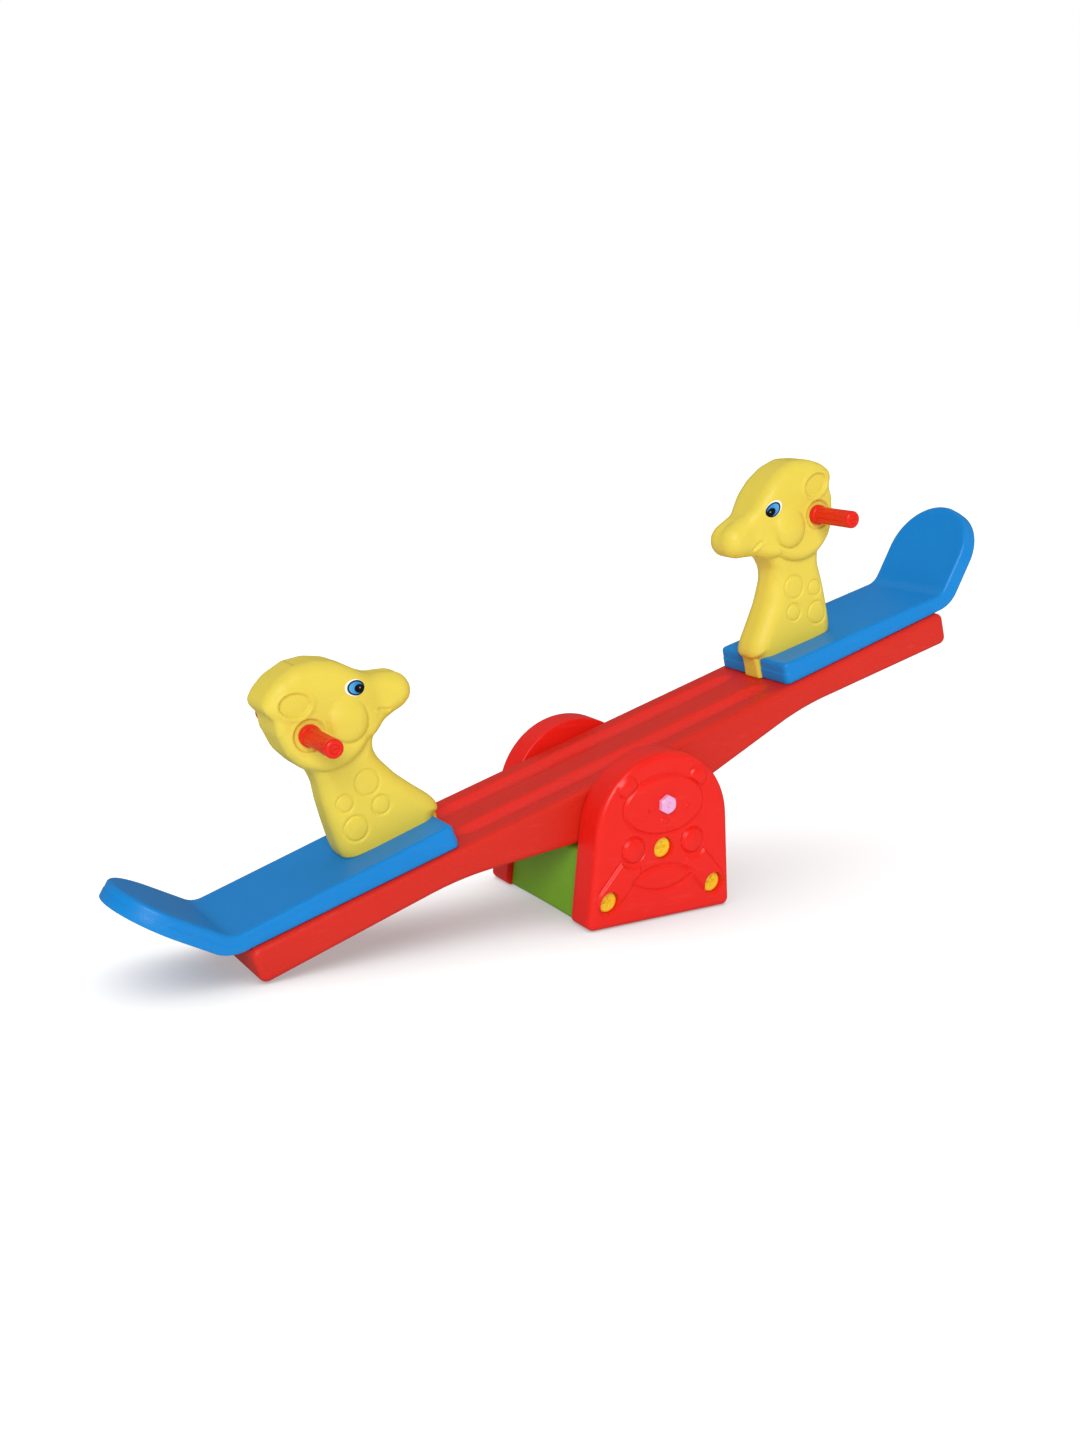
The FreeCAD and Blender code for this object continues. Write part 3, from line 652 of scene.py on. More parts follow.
def makeCapMesh(turn):
    # a hexagon with soft corners; its face falls away towards them like a nut's chamfer
    reach = cap["acrossFlats"] / 2 / math.cos(math.pi / 6)
    angles = [k * math.pi / 3 + math.pi / 6 for k in range(6)]
    outline = resample(roundedOutline([(reach * math.cos(angle), reach * math.sin(angle), cap["corner"])
                                       for angle in angles]), cap["columns"])
    rim = roundRim(cap["chamfer"], 5) + [(0.0, d) for d in np.linspace(2, cap["high"], 8)]
    grid = slabGrid(outline, np.zeros_like(outline), rim, 34, 4)
    out = np.hypot(grid[..., 0], grid[..., 1])
    fall = np.clip(out - cap["fallFrom"], 0, None) * cap["fall"] + 0.4 + 0.4 * (out / 12) ** 2
    dimple = cap["dimple"] * ramp(-out, -4.8, -3.6) - cap["lip"] * bell(out - 6.0, 0.9)
    front = 1 - ramp(grid[..., 2], 4.0, 11.0)
    depth = grid[..., 2] + (fall + dimple * (grid[..., 2] < 1.0)) * front
    shell = np.stack([grid[..., 0], depth - panel["face"] - cap["high"],
                      grid[..., 1] + rest["pivotHeight"]], -1)
    return makeMesh("axleCap", [(turn(shell), True)])


for name, turn in sides:
    mesh = makeCapMesh(turn)
    tidyMesh(mesh, weld=0.000008, sharp=40)
    addPiece("axleCap" + name, mesh, finish["capPink"], "base", "axle_cap_" + name.lower())
print("screws and caps made")


# beam

beam = {"halfLength": 660.0, "halfWidth": 96.0, "top": 55.0, "endUnder": -1.0, "bendRadius": 500.0,
        "bellyRadius": 180.0, "edge": 10.0, "topCorner": 12.0, "lowCorner": 13.0, "endRound": 24.0,
        "channelAt": 45.0, "channelWide": 44.0, "channelDeep": 6.0, "channelEnd": 302.0,
        "channelFade": 40.0, "sag": 0.5, "columns": 300, "acrossRows": 92, "bore": 13.05}
bolts = {"well": 7.5, "wellDeep": 20.0, "from": -30.0, "seatAt": (379.0, 610.0), "seatAcross": 55.0,
         "headAt": (371.0, 444.0)}


def beamOutline():
    # top and underside share their x places, so the side faces close along the middle
    tips = [(beam["halfLength"], beam["endUnder"], beam["lowCorner"]),
            (beam["halfLength"], beam["top"], beam["topCorner"]),
            (-beam["halfLength"], beam["top"], beam["topCorner"])]
    low = [(-beam["halfLength"], beam["endUnder"], beam["lowCorner"]),
           (-belly["bendAt"], belly["bendUnder"], beam["bendRadius"]),
           (-belly["half"], -belly["depth"], beam["bellyRadius"]),
           (belly["half"], -belly["depth"], beam["bellyRadius"]),
           (belly["bendAt"], belly["bendUnder"], beam["bendRadius"])]
    whole = resample(roundedOutline(low + tips), 12000)
    cut = beam["halfLength"] - beam["endRound"]
    x = np.linspace(-cut, cut, beam["columns"])
    under = whole[(whole[:, 1] < 20) & (np.abs(whole[:, 0]) < cut + 5)]
    under = under[np.argsort(under[:, 0])]
    lowZ = np.interp(x, under[:, 0], under[:, 1])
    right = whole[whole[:, 0] > cut]
    middleZ = (beam["top"] + beam["endUnder"]) / 2
    right = right[np.argsort(np.arctan2(right[:, 1] - middleZ, right[:, 0] - cut))]
    right = resample(right, 34, closed=False)[1:-1]
    left = right[::-1] * np.array([-1.0, 1.0])
    return np.concatenate([np.stack([x, lowZ], 1), right,
                           np.stack([x[::-1], np.full(len(x), beam["top"])], 1), left])


def underHeight(x):
    # the straight outer part of the underside
    share = (x - belly["bendAt"]) / (beam["halfLength"] - belly["bendAt"])
    return belly["bendUnder"] + (beam["endUnder"] - belly["bendUnder"]) * share


def channelDrop(x, y):
    # two round-bottomed channels; their ends rise slowly like the bowl of a spoon
    away = np.abs(np.abs(y) - beam["channelAt"]) / (beam["channelWide"] / 2)
    fade = beam["channelFade"]
    past = np.clip(np.abs(x) - (beam["channelEnd"] - fade), 0, None) / fade
    d = np.hypot(away, past)
    return np.clip(1 - d ** 2, 0, 1) * beam["channelDeep"], 1 - ramp(d, 0.75, 1.05)


def makeBeamMesh():
    # the side outline carried across, with rounded edges; the channels and a slight sag lower its top
    outline = beamOutline()
    cut = beam["halfLength"] - beam["endRound"]
    middleX = np.clip(outline[:, 0], -cut, cut)
    lowAt = np.interp(middleX, outline[:beam["columns"], 0], outline[:beam["columns"], 1])
    middle = np.stack([middleX, (lowAt + beam["top"]) / 2], 1)
    first = roundRim(beam["edge"], 8)
    width = 2 * beam["halfWidth"]
    across = np.linspace(beam["edge"], width - beam["edge"], beam["acrossRows"])[1:-1]
    rim = first + [(0.0, d) for d in across] + [(i, width - d) for i, d in reversed(first)]
    grid = slabGrid(outline, middle, rim, 9, 9)
    x, z, y = grid[..., 0], grid[..., 1], grid[..., 2] - beam["halfWidth"]
    drop, inside = channelDrop(x, y)
    onTop = z > beam["top"] - 0.01
    z = z - (drop + beam["sag"] * bell(y, 70.0)) * onTop
    shell = np.stack([x, y, z], -1)
    # the channel attribute marks where the beam's material paints its lighter red for the light bounced in
    # the channels
    return makeMesh("beam", [(ontoRocker(shell), True)], attributes={"channel": inside * onTop})


def drillHoles(piece, places, name):
    # takes closed shapes out of a piece; each place is a grid in mm with its closed flag
    shapes = makeMesh(name, places)
    tidyMesh(shapes)
    cutter = bpy.data.objects.new(name, shapes)
    bpy.context.scene.collection.objects.link(cutter)
    cut = piece.modifiers.new("drill", "BOOLEAN")
    cut.operation, cut.object, cut.solver = "DIFFERENCE", cutter, "EXACT"
    bpy.context.view_layer.update()
    made = bpy.data.meshes.new_from_object(piece.evaluated_get(bpy.context.evaluated_depsgraph_get()))
    piece.modifiers.clear()
    piece.data = made
    bpy.data.objects.remove(cutter)
    made.set_sharp_from_angle(angle=math.radians(40))


def rodGrid(start, end, radius, columns=40):
    # closed rod between two places, a circle carried along the straight line
    start, end = np.array(start, float), np.array(end, float)
    along = (end - start) / np.linalg.norm(end - start)
    side = np.cross(along, [1.0, 0.0, 0.0] if abs(along[0]) < 0.5 else [0.0, 1.0, 0.0])
    side /= np.linalg.norm(side)
    up = np.cross(along, side)
    turn = np.linspace(0, 2 * math.pi, columns, endpoint=False)[:, None]
    ring = np.cos(turn) * side + np.sin(turn) * up
    return np.stack([start + 0 * ring, start + ring * radius, end + ring * radius, end + 0 * ring])


mesh = makeBeamMesh()
tidyMesh(mesh, sharp=50)
beamPiece = addPiece("beam", mesh, finish["beamRed"], "rocker", "beam")
throughBeam = beam["halfWidth"] + 14.0
holes = [(ontoRocker(rodGrid((0, -throughBeam, 0), (0, throughBeam, 0), beam["bore"], 56)), True)]
for side in (-1, 1):
    wells = [(x, y) for x in bolts["seatAt"] for y in (-bolts["seatAcross"], bolts["seatAcross"])]
    for x, y in wells + [(x, 0) for x in bolts["headAt"]]:
        top = underHeight(x) + bolts["wellDeep"]
        rod = rodGrid((side * x, y, bolts["from"]), (side * x, y, top), bolts["well"])
        holes.append((ontoRocker(rod), True))
drillHoles(beamPiece, holes, "beamHoles")
print("beam made")


# seats

seat = {"start": 317.0, "startUp": 91.0, "bendX": 674.0, "bendUp": 81.0, "backAngle": 45.5,
        "backLong": 159.9, "halfWidth": 87.0, "bendRadius": 34.0, "frontCorner": 10.0,
        "thickStart": 36.0, "thickBend": 26.0, "thickBack": 28.6, "thickRim": 33.0, "edge": 6.5,
        "ledge": 0.9, "lowEdge": 3.0, "dish": 0.9, "hollow": 0.5, "columns": 560, "faceRows": 44,
        "slotLong": 28.0, "slotHalf": 21.0}


def seatPath():
    # the top line: straight pan, a rounded bend, straight back; close points with their directions
    a = np.array([seat["start"], seat["startUp"]])
    b = np.array([seat["bendX"], seat["bendUp"]])
    lean = math.radians(seat["backAngle"])
    c = b + seat["backLong"] * np.array([math.cos(lean), math.sin(lean)])
    first = (b - a) / np.hypot(*(b - a))
    low = math.atan2(first[1], first[0])
    cutBack = seat["bendRadius"] * math.tan((lean - low) / 2)
    centre = b - first * cutBack + seat["bendRadius"] * np.array([-first[1], first[0]])
    angle = np.linspace(low, lean, 24) - math.pi / 2
    arc = centre + seat["bendRadius"] * np.stack([np.cos(angle), np.sin(angle)], 1)
    line = np.concatenate([np.linspace(a, arc[0], 200)[:-1], arc, np.linspace(arc[-1], c, 120)[1:]])
    along = np.concatenate([[0], np.cumsum(np.hypot(*np.diff(line, axis=0).T))])
    step = np.gradient(line, along, axis=0)
    return along, line, step / np.hypot(step[:, 0], step[:, 1])[:, None]


def makeSeatShell():
    # a plan outline with a rim profile, then bent: plan length is carried along the path
    along, line, way = seatPath()
    whole, half = along[-1], seat["halfWidth"]
    plan = roundedOutline([(0, -half, seat["frontCorner"]), (whole, -half, half - 0.2),
                           (whole, half, half - 0.2), (0, half, seat["frontCorner"])])
    lower = plan[plan[:, 1] < 0]
    lower = lower[np.argsort(np.arctan2(lower[:, 1], lower[:, 0] - 60))]
    lower = np.concatenate([[[0, 0]], lower, [[whole, 0]]])
    lower = resample(lower, seat["columns"] // 2 + 1, closed=False)
    outline = np.concatenate([lower, (lower[1:-1] * np.array([1.0, -1.0]))[::-1]])
    anchors = np.stack([np.clip(outline[:, 0], 40.0, whole - half), np.zeros(len(outline))], 1)
    # depth runs 0 to 1 through the thickness here
    top = [(i + seat["ledge"], d / seat["thickRim"]) for i, d in roundRim(seat["edge"], 9, 2.1)]
    side = [(seat["ledge"], 0.40), (seat["ledge"], 0.47), (0.7, 0.495), (0.1, 0.52), (0.0, 0.56),
            (0.0, 0.75)]
    low = [(i, 1 - d / seat["thickRim"]) for i, d in reversed(roundRim(seat["lowEdge"], 5))]
    grid = slabGrid(outline, anchors, top + side + low, seat["faceRows"], 12)
    s, y, share = grid[..., 0], grid[..., 1], grid[..., 2]
    bend = whole - seat["backLong"]
    thick = np.interp(s, [0, bend - 12, bend + 12, whole],
                      [seat["thickStart"], seat["thickBend"], seat["thickBack"], seat["thickBack"]])
    # a shallow dish in the pan and a raised lip round the leaning back
    onTop = ramp(-share, -0.04, 0.0)
    dish = seat["dish"] * ramp(s, 150, 190) * ramp(bend + 20 - s, 0, 60) * bell(y, 52.0)
    rimGap = np.minimum(half - np.abs(y), half - np.hypot(np.clip(s - whole + half, 0, None), y))
    hollow = seat["hollow"] * ramp(s, bend + 25, bend + 75) * ramp(rimGap, 15.0, 24.0)
    n = share * thick + (hollow + dish) * onTop
    px, pz = np.interp(s, along, line[:, 0]), np.interp(s, along, line[:, 1])
    wx, wz = np.interp(s, along, way[:, 0]), np.interp(s, along, way[:, 1])
    return np.stack([px + wz * n, y, pz - wx * n], -1)


def makeSlotShell():
    # the notch for the head's tongue: a rounded plan carried straight up through the seat
    long, half = seat["slotLong"], seat["slotHalf"]
    plan = resample(roundedOutline([(-40, -half, 4), (long, -half, 4), (long, half, 4),
                                    (-40, half, 4)]), 96)
    anchors = np.tile([[0.0, 0.0]], (len(plan), 1))
    grid = slabGrid(plan, anchors, [(0.0, 20.0), (0.0, 130.0)], 2, 2)
    return np.stack([grid[..., 0] + seat["start"], grid[..., 1], grid[..., 2]], -1)


seatShell, slotShell = makeSeatShell(), makeSlotShell()
for name, turn in ends:
    mesh = makeMesh("seat", [(ontoRocker(turn(seatShell)), True)])
    tidyMesh(mesh, sharp=60)
    piece = addPiece("seat" + name, mesh, finish["seatBlue"], "rocker",
                     "seat_" + name.lower())
    drillHoles(piece, [(ontoRocker(turn(slotShell)), True)], "seatSlot")
print("seats made")


# giraffe heads

head = {"front": [(315, 88), (307, 91), (303.5, 97), (304.5, 106), (311, 118), (332, 144), (353, 172),
                  (370, 203), (378, 226), (376, 240), (366, 251), (352, 258), (330, 263), (314, 266.5),
                  (301, 274), (294.5, 286), (294.5, 297), (299.5, 310), (311, 319.5), (329, 325),
                  (347, 329), (362, 339), (379, 356), (399, 371.5), (426, 383.2), (456, 387)],
        "back": [(468, 84), (471.5, 92), (473.5, 107), (474.5, 142), (474.5, 177), (472.5, 205),
                 (475, 228), (493, 246), (507, 272), (513, 306), (510, 327), (518.5, 342), (519, 353),
                 (508, 366), (487, 378.8), (456, 387)],
        "neckHalf": 34.0, "skullHalf": 44.0, "snoutHalf": 33.0,
        "rows": 330, "faceCols": 118, "wallCols": 13,
        "jaw": (440.0, 300.0, 74.0), "jawSoft": 15.0,
        "hub": (471.0, 291.0, 24.0), "hubDeep": 2.2, "ear": ((478.0, 340.0), (24.0, 17.5), 14.0),
        "earDeep": 3.6, "cheek": (410.0, 288.0, 30.5), "cheekHigh": 11.5,
        "chin": (249.0, 0.97, 404.0), "brow": 296.0,
        "smile": ((342.0, 275.0), (357.0, 282.5)), "smileDeep": 3.4, "lip": ((344.0, 271.0), (362.0, 281.0)),
        "lipHigh": 1.2, "spotCrease": 2.2, "spotHigh": 0.9,
        "spots": [(406.0, 185.5, 19.0), (447.5, 169.5, 13.0), (395.5, 145.0, 14.0), (442.5, 127.5, 19.0)],
        "eye": ((386.5, 330.0), (16.0, 12.0), 22.0), "eyeLift": 0.35}


def smoothLine(points, width):
    # even points along the line, then averaged with a bell of the given width in mm
    line = resample(np.array(points, float), 2800, closed=False)
    step = np.hypot(*np.diff(line, axis=0).T).mean()
    reach = int(3 * width / step)
    weight = bell(np.arange(-reach, reach + 1) * step, width)
    weight /= weight.sum()
    padded = np.concatenate([2 * line[0] - line[reach:0:-1], line,
                             2 * line[-1] - line[-2:-reach - 2:-1]])
    return np.stack([np.convolve(padded[:, k], weight, "valid") for k in (0, 1)], 1)


def headChains():
    # the outline split at its highest point; each side is made to rise all the way up
    whole = smoothLine(head["front"] + head["back"][-2::-1], 5.0)
    peak = int(np.argmax(whole[:, 1]))
    front, back = whole[:peak + 1], whole[peak:][::-1].copy()
    top = whole[peak, 1]
    for side in (front, back):
        side[:, 1] = np.maximum.accumulate(side[:, 1] + np.linspace(0, 1e-3, len(side)))
    return front, back, top


frontChain, backChain, headTop = headChains()
# dense outline of the whole head, leaving its foot open
headRim = np.concatenate([frontChain[::3], backChain[::-3]])


def rimDistance(u, z):
    # how far each point lies from the head's outline
    flat = np.stack([u.ravel(), z.ravel()], 1)
    best = np.full(len(flat), 1e9)
    a, b = headRim[:-1], headRim[1:]
    way = b - a
    size = np.maximum((way ** 2).sum(1), 1e-9)
    for part in range(0, len(flat), 4000):
        p = flat[part:part + 4000, None, :]
        t = np.clip(((p - a) * way).sum(-1) / size, 0, 1)
        best[part:part + 4000] = np.hypot(*np.moveaxis(p - a - way * t[..., None], -1, 0)).min(1)
    return best.reshape(u.shape)


def skullInside(u, z):
    # how far inside the skull's lower edge: the jaw's circle, the chin line, and all above the brow
    middleU, middleZ, radius = head["jaw"]
    circle = radius - np.hypot(u - middleU, z - middleZ)
    chinUp, chinSlope, chinEnd = head["chin"]
    chin = np.minimum((z - chinUp) * chinSlope, chinEnd - u)
    return np.maximum(np.maximum(circle, chin), np.minimum(z - head["brow"], 60.0))


def headHalf(u, z):
    # half thickness of the head before its edges are rounded, with all the side's relief
    t = np.clip((skullInside(u, z) + 0.5) / head["jawSoft"], 0, 1)
    proud = np.sqrt(1 - (1 - t) ** 2)
    skull = head["snoutHalf"] + (head["skullHalf"] - head["snoutHalf"]) * ramp(u, 333, 398)
    skull = skull - 2.6 * bell(u - 352, 15.0) * ramp(z, 250, 262) + 1.2 * bell(u - 312, 16.0)
    skull = skull - 4.5 * ramp(z, 335, 386) - 2.0 * ramp(u, 480, 520)
    neck = head["neckHalf"] - 2.0 * ramp(z, 120, 220)
    half = neck + (skull - neck) * proud
    # cheek: a ball's cap with a crease round it, melting away above
    da, db = u - head["cheek"][0], z - head["cheek"][1]
    d = np.hypot(da, db) / head["cheek"][2]
    above = 0.5 + 0.5 * np.clip(db / (d * head["cheek"][2] + 1e-6), -1, 1)
    crisp = np.sqrt(np.clip(1 - d ** 2, 0, 1))
    soft = np.clip(1 - (d / 1.18) ** 2, 0, 1) ** 1.5
    share = (1 - ramp(above, 0.55, 0.98)) * ramp(d, 0.0, 0.5)
    half = half + head["cheekHigh"] * (soft + (crisp - soft) * share)
    half = half - 1.2 * bell((d - 1.04) * head["cheek"][2], 2.0) * (1 - ramp(above, 0.5, 0.9))
    # hub round the handle, ear hollow, smile and neck spots
    hubGap = np.hypot(u - head["hub"][0], z - head["hub"][1]) - head["hub"][2]
    half = half + 1.1 * bell(hubGap - 2.2, 2.6) - (head["hubDeep"] + 0.6) * ramp(-hubGap, -0.6, 1.4)
    earGap = ellipseGap(u, z, *head["ear"])
    half = half + 2.0 * bell(earGap - 3.0, 3.5) - head["earDeep"] * ramp(-earGap, -0.4, 2.4)
    half = half - head["smileDeep"] * bell(barGap(u, z, *head["smile"], 0.0), 2.2)
    half = half + head["lipHigh"] * bell(barGap(u, z, *head["lip"], 0.0), 3.5)
    for a, b, radius in head["spots"]:
        gap = np.hypot(u - a, z - b) - radius
        half = half - head["spotCrease"] * bell(gap, 1.8) + head["spotHigh"] * ramp(-gap, 0, radius)
    return half


def roundingAt(u, z):
    # how broad the rounded edge is: widest at the neck and the snout, less over the crown, least
    # at the nape
    radius = 14.5 + 9.0 * ramp(-u, -368, -325) - 2.5 * ramp(u, 470, 500) + 6.0 * ramp(z, 330, 368)
    neckFront = 27.0 - 5.0 * ramp(u, 420, 452)
    return np.where(z < 240, neckFront + (radius - neckFront) * ramp(z, 205, 240), radius)


def headSurface(u, z):
    # half thickness with the edge rounded over: a quarter circle in from the outline
    half, radius = headHalf(u, z), roundingAt(u, z)
    t = 1 - np.clip(rimDistance(u, z) / radius, 0, 1)
    return half - radius * (1 - np.sqrt(np.clip(1 - t ** 2, 0, 1)))


def makeHeadShell():
    # level slices: front face, wall at the nape, rear face, wall at the snout
    steps = head["rows"] // 2
    levels = [resample(chain, steps, closed=False)[:, 1] for chain in (frontChain, backChain)]
    z = np.unique(np.clip(np.concatenate(levels), frontChain[0, 1], headTop))
    keep = np.concatenate([[True], np.diff(z) > 0.02])
    z = z[keep]
    low = np.interp(z, frontChain[:, 1], frontChain[:, 0])
    high = np.interp(z, backChain[:, 1], backChain[:, 0])
    t = np.linspace(0, 1, head["faceCols"])
    share = 0.45 * t + 0.55 * (1 - np.cos(math.pi * t)) / 2
    u = low[:, None] + (high - low)[:, None] * share[None, :]
    zz = z[:, None] + 0 * u
    half = headSurface(u, zz)
    wall = np.linspace(-1, 1, head["wallCols"] + 2)[1:-1][None, :]
    lowWall = half[:, :1] * wall
    highWall = half[:, -1:] * wall
    faceA = np.stack([u, -half, zz], -1)
    wallB = np.stack([u[:, -1:] + 0 * wall, highWall, zz[:, :1] + 0 * wall], -1)
    faceB = np.stack([u[:, ::-1], half[:, ::-1], zz], -1)
    wallA = np.stack([u[:, :1] + 0 * wall, -lowWall, zz[:, :1] + 0 * wall], -1)
    grid = np.concatenate([faceA, wallB, faceB, wallA], 1)
    # the snout's top dips along its middle and near each side, which leaves two nostril mounds
    a, y, b = grid[..., 0], grid[..., 1], grid[..., 2]
    onSnout = ramp(-a, -338, -322) * ramp(b, 296, 316)
    b = b - 1.8 * onSnout * bell(y, 7.0) - 0.8 * onSnout * bell(np.abs(y) - 26, 8.0)
    grid = np.stack([a, y, b], -1)
    foot = grid[:1] * np.array([1.0, 0.0, 1.0])   # closes the foot along its middle line
    return np.concatenate([foot, grid])


tongue = {"front": 311.0, "back": 344.0, "half": 19.5, "flare": 1.6, "low": 55.2, "high": 112.0,
          "toe": 0.5, "lean": -2.0, "room": 0.1}


def makeTongueShell():
    # a rounded bar down the seat's slot, a little wider at its low end
    front, back, half = tongue["front"], tongue["back"], tongue["half"]
    plan = resample(roundedOutline([(front, -half, 6), (back, -half, 2), (back, half, 2),
                                    (front, half, 6)]), 120)
    anchors = np.tile([[(front + back) / 2, 0.0]], (len(plan), 1))
    down = np.linspace(5, tongue["high"] - tongue["low"], 22)
    grid = slabGrid(plan, anchors, [(2.0, 0.0), (0.6, 0.6), (0.0, 2.0)] + [(0.0, d) for d in down], 6, 6)
    x, y, z = grid[..., 0], grid[..., 1], tongue["low"] + grid[..., 2]
    up = z - tongue["low"]
    wide = y * (1 + tongue["flare"] / half * bell(up, 11.0))
    limit = seat["slotHalf"] - tongue["room"]
    # its face stands out at the toe and leans to meet the neck's overhang
    shift = tongue["lean"] * ramp(z, 80, 104) - tongue["toe"] * bell(up, 9.0)
    return np.stack([x + shift * (x < front + 9), np.clip(wide, -limit, limit), z], -1)


def makeEyeShell():
    # an ellipse laid on the head's own surface, with its UV: the front of the eye at u = 1
    turn = np.linspace(0, 2 * math.pi, 96, endpoint=False)[None, :]
    out = np.array([0, 0.2, 0.4, 0.6, 0.8, 0.93, 1.0, 1.03])[:, None]   # the last ring dips under
    p, q = out * np.cos(turn), out * np.sin(turn)
    (a, b), (long, short), tilt = head["eye"]
    c, s = math.cos(math.radians(tilt)), math.sin(math.radians(tilt))
    u = a + p * long * c - q * short * s
    z = b + p * long * s + q * short * c
    lift = np.where(out > 1.0, -1.2, head["eyeLift"]) + 0 * turn
    face = headSurface(u, z) + lift
    uv = np.stack([0.5 - p / 2, 0.5 + q / 2], -1)
    return np.stack([u, -face, z], -1), uv.reshape(-1, 2)


headShell, tongueShell = makeHeadShell(), makeTongueShell()
eyeShell, eyeUv = makeEyeShell()
# the same rings laid flat inside the head close the print behind
backing = eyeShell[::-1] * np.array([1.0, 0.0, 1.0]) - np.array([0.0, 30.0, 0.0])
eyeShell = np.concatenate([eyeShell, backing])
eyeUv = np.concatenate([eyeUv, eyeUv[::-1]] * 2)
for name, turn in ends:
    shells = [(ontoRocker(turn(headShell)), True), (ontoRocker(turn(tongueShell)), True)]
    mesh = makeMesh("head", shells)
    tidyMesh(mesh, sharp=60)
    addPiece("head" + name, mesh, finish["headYellow"], "rocker", "head_" + name.lower())
    pair = [(ontoRocker(turn(face(eyeShell))), True) for face in (asIs, flipY)]
    mesh = makeMesh("eyes", pair, uvFromShell=eyeUv)
    tidyMesh(mesh, weld=0.000005, sharp=50)
    addPiece("eyes" + name, mesh, finish["eyePrint"], "rocker", "eyes_" + name.lower())
print("heads made")


# handle grips

grip = {"at": (471.0, 291.0), "start": 41.0, "bore": 8.6, "collar": 16.4, "barrel": 14.0, "waist": 0.25,
        "end": 130.0, "nose": 5.0, "recess": 6.7, "recessAt": 125.0, "flutes": 10, "fluteDeep": 1.1,
        "columns": 240}


def makeGripShell():
    # turned profile (along, radius); flutes sink the barrel between ribs
    profile = [(grip["start"], 0.0), (grip["start"], grip["bore"]), (grip["start"], grip["collar"] - 1)]
    profile += [(a, grip["collar"]) for a in (grip["start"] + 1, 45.0, 48.6)]
    profile += [(49.9, 15.9), (50.8, 15.1), (51.3, 14.5), (52.6, 14.05)]
    profile += [(a, grip["barrel"] - grip["waist"] * math.sin((a - 53) / 72 * math.pi))
                for a in np.linspace(53.5, 124.5, 40)]
    nose = np.linspace(0, 1, 8)[1:] * math.pi / 2
    profile += [(grip["end"] - grip["nose"] * (1 - math.sin(t)),
                 grip["barrel"] - grip["nose"] * (1 - math.cos(t))) for t in nose]
    profile += [(130.0, 7.6), (129.6, 7.0), (128.8, grip["recess"]), (grip["recessAt"], grip["recess"]),
                (grip["recessAt"], 0.0)]
    profile = np.array(profile)
    turn = np.linspace(0, 2 * math.pi, grip["columns"], endpoint=False)[None, :]
    along, radius = profile[:, :1], profile[:, 1:]
    rib = ramp(np.cos(turn * grip["flutes"]), 0.15, 0.95)
    sunk = grip["fluteDeep"] * rib * ramp(along, 55.5, 59.0) * ramp(-along, -121.5, -118.0)
    radius = radius - sunk * (radius > 13)
    return np.stack([grip["at"][0] + radius * np.cos(turn), along + 0 * turn,
                     grip["at"][1] + radius * np.sin(turn)], -1)


gripShell = makeGripShell()
for name, turn in ends:
    for place, face in (("Rear", asIs), ("Front", flipY)):   # drawn on the rear side
        mesh = makeMesh("grip", [(ontoRocker(turn(face(gripShell))), True)])
        tidyMesh(mesh, weld=0.000008, sharp=50)
        addPiece("grip" + place + name, mesh, finish["gripRed"], "rocker",
                 "grip_" + place.lower() + "_" + name.lower())
print("grips made")


# metal and small parts that keep their frame shape

kept = {"platedSteel": ["axle_rod", "handle_rod_left", "handle_rod_right"],
        "screwYellow": ["seat_bolts_left", "seat_bolts_right", "head_bolts_left", "head_bolts_right"],
        "gripRed": ["grip_plugs_left", "grip_plugs_right"],
        "bushWhite": ["axle_washers", "pivot_sleeve"]}
for material, names in kept.items():
    for name in names:
        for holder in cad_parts[name].material_slots:
            holder.material = finish[material]
print("kept parts finished")


# floor, light and camera

stage = {"floorColour": "#9C9C9C", "floorGlow": 0.36, "reach": 40.0, "worldLight": 0.30,
         "worldGloss": 0.16}
suns = {"keySun": {"toward": (-0.50, -0.70, 0.55), "power": 2.3, "spread": 30.0},
        "backSun": {"toward": (0.10, 0.70, 0.72), "power": 0.70, "spread": 55.0, "shine": False},
        "fillSun": {"toward": (0.85, -0.20, 0.50), "power": 0.8, "spread": 60.0, "shine": False},
        "floorSun": {"toward": (-0.05, 0.10, 1.0), "power": 7.0, "spread": 100.0, "onFloor": True}}

floorX, floorY = np.meshgrid(*[np.linspace(-1000, 1000, 3) * stage["reach"]] * 2)
floorMesh = makeMesh("floor", [(np.stack([floorX, floorY, 0 * floorX], -1), False)])
floor = bpy.data.objects.new("floor", floorMesh)
bpy.context.scene.collection.objects.link(floor)
pale = bpy.data.materials.new("paleFloor")
pale.use_nodes = True
paleShader = pale.node_tree.nodes["Principled BSDF"]
paleShader.inputs["Base Color"].default_value = srgb(stage["floorColour"])
paleShader.inputs["Roughness"].default_value = 0.9
paleShader.inputs["Specular IOR Level"].default_value = 0.1
paleShader.inputs["Emission Color"].default_value = (1, 1, 1, 1)   # lit from below like a light table
paleShader.inputs["Emission Strength"].default_value = stage["floorGlow"]
floorMesh.materials.append(pale)
floor.visible_glossy = False   # no white sheet mirrored in the plastic

world = bpy.data.worlds.new("studio")
bpy.context.scene.world = world
world.use_nodes = True
room = world.node_tree
backdrop = room.nodes["Background"]
backdrop.inputs["Color"].default_value = (1, 1, 1, 1)
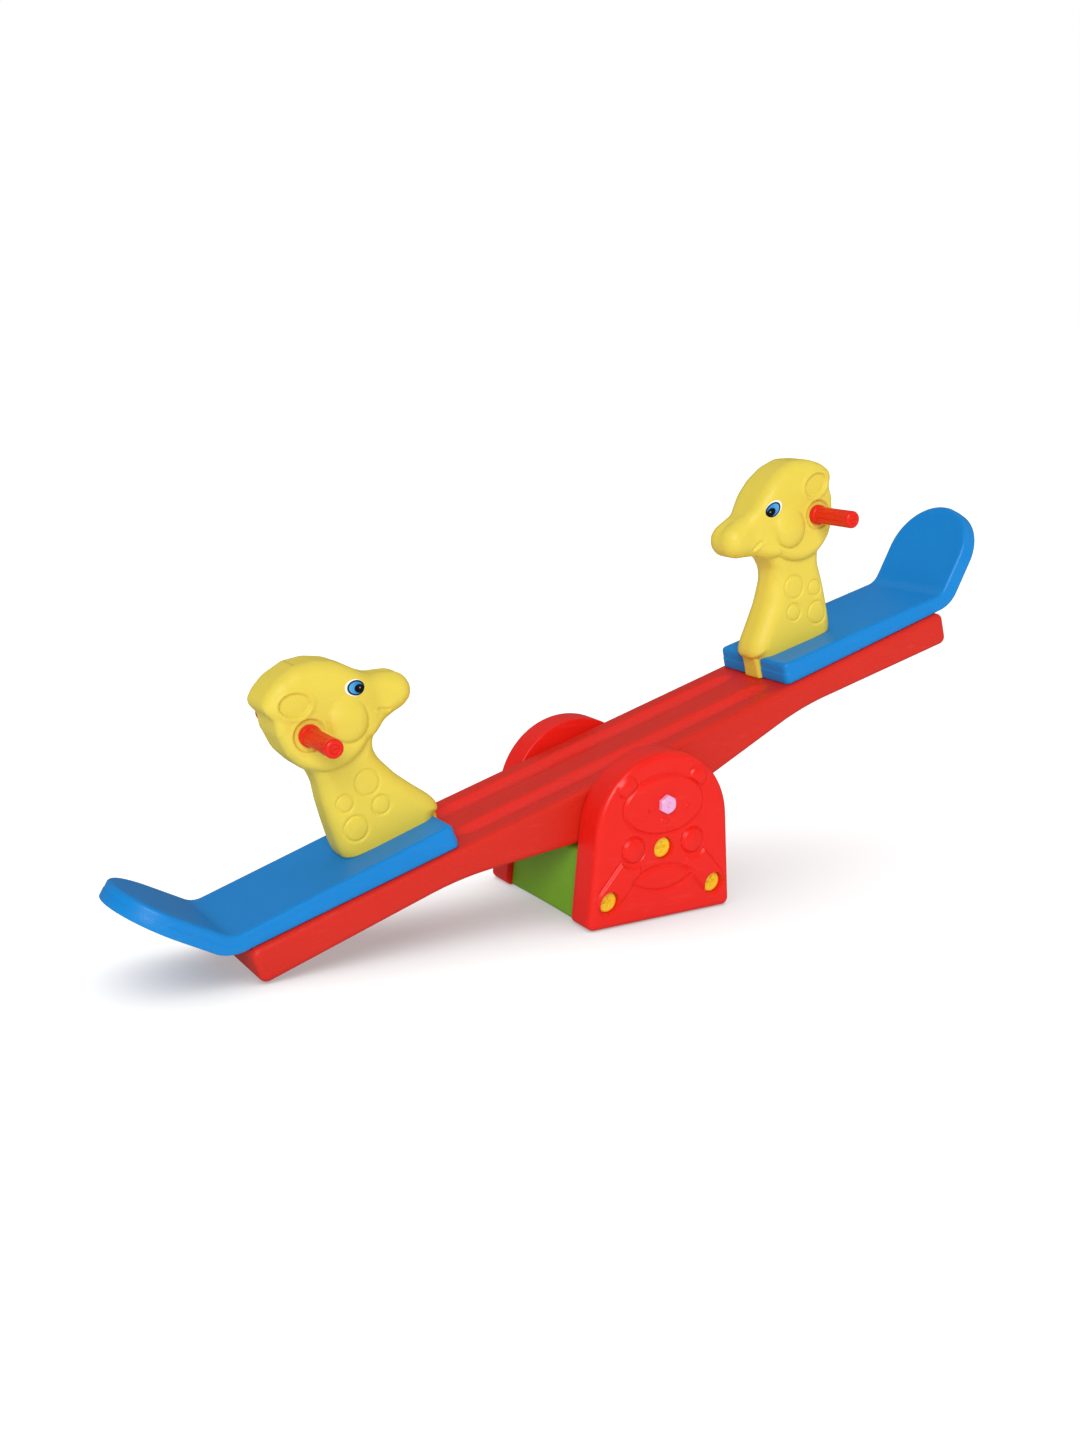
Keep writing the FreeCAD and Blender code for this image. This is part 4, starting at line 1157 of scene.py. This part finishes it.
# white behind, a softer light on the object and a dim room in its gloss
path = addNode(room, "ShaderNodeLightPath")
seen = mathNode(room, "MULTIPLY", path.outputs["Is Camera Ray"], 1 - stage["worldLight"])
mirrored = mathNode(room, "MULTIPLY", path.outputs["Is Glossy Ray"],
                    stage["worldGloss"] - stage["worldLight"])
power = mathNode(room, "ADD", mathNode(room, "ADD", seen, mirrored), stage["worldLight"])
room.links.new(power, backdrop.inputs["Strength"])


def addLight(name, toward, power, spread, onFloor=False, shine=True):
    # a broad even light from one direction, as soft as its spread in degrees; it lights either
    # the floor alone or everything else, and may leave no gloss
    data = bpy.data.lights.new(name, "SUN")
    data.energy, data.angle = power, math.radians(spread)
    lamp = bpy.data.objects.new(name, data)
    bpy.context.scene.collection.objects.link(lamp)
    back = np.array(toward, float) / np.linalg.norm(toward)
    across = np.cross([0.0, 1.0, 0.01], back)
    across /= np.linalg.norm(across)
    up = np.cross(back, across)
    lamp.matrix_world = Matrix([[across[k], up[k], back[k], 3 * back[k]] for k in range(3)]
                               + [[0, 0, 0, 1]])
    lit = bpy.data.collections.new(name + "Lit")
    lit.objects.link(floor)
    lit.collection_objects[0].light_linking.link_state = "INCLUDE" if onFloor else "EXCLUDE"
    lamp.light_linking.receiver_collection = lit
    lamp.visible_glossy = shine


for name, sun in suns.items():
    addLight(name, **sun)

view = {"place": (-1.36892, -2.01957, 0.86298), "turn": 31.4633, "down": 13.3671, "roll": 0.7645,
        "lens": 39.3715}
turn, down, roll = (math.radians(view[k]) for k in ("turn", "down", "roll"))
forward = np.array([math.sin(turn) * math.cos(down), math.cos(turn) * math.cos(down), -math.sin(down)])
right = np.array([math.cos(turn), -math.sin(turn), 0.0])
upward = np.cross(right, forward)
rolledRight = right * math.cos(roll) + upward * math.sin(roll)
rolledUp = upward * math.cos(roll) - right * math.sin(roll)
cameraData = bpy.data.cameras.new("camera")
cameraData.lens, cameraData.sensor_width, cameraData.sensor_fit = view["lens"], 36.0, "AUTO"
camera = bpy.data.objects.new("camera", cameraData)
bpy.context.scene.collection.objects.link(camera)
camera.matrix_world = Matrix([[rolledRight[k], rolledUp[k], -forward[k], view["place"][k]]
                              for k in range(3)] + [[0, 0, 0, 1]])
bpy.context.scene.camera = camera
bpy.context.scene.view_settings.view_transform = "Standard"
print("stage set")
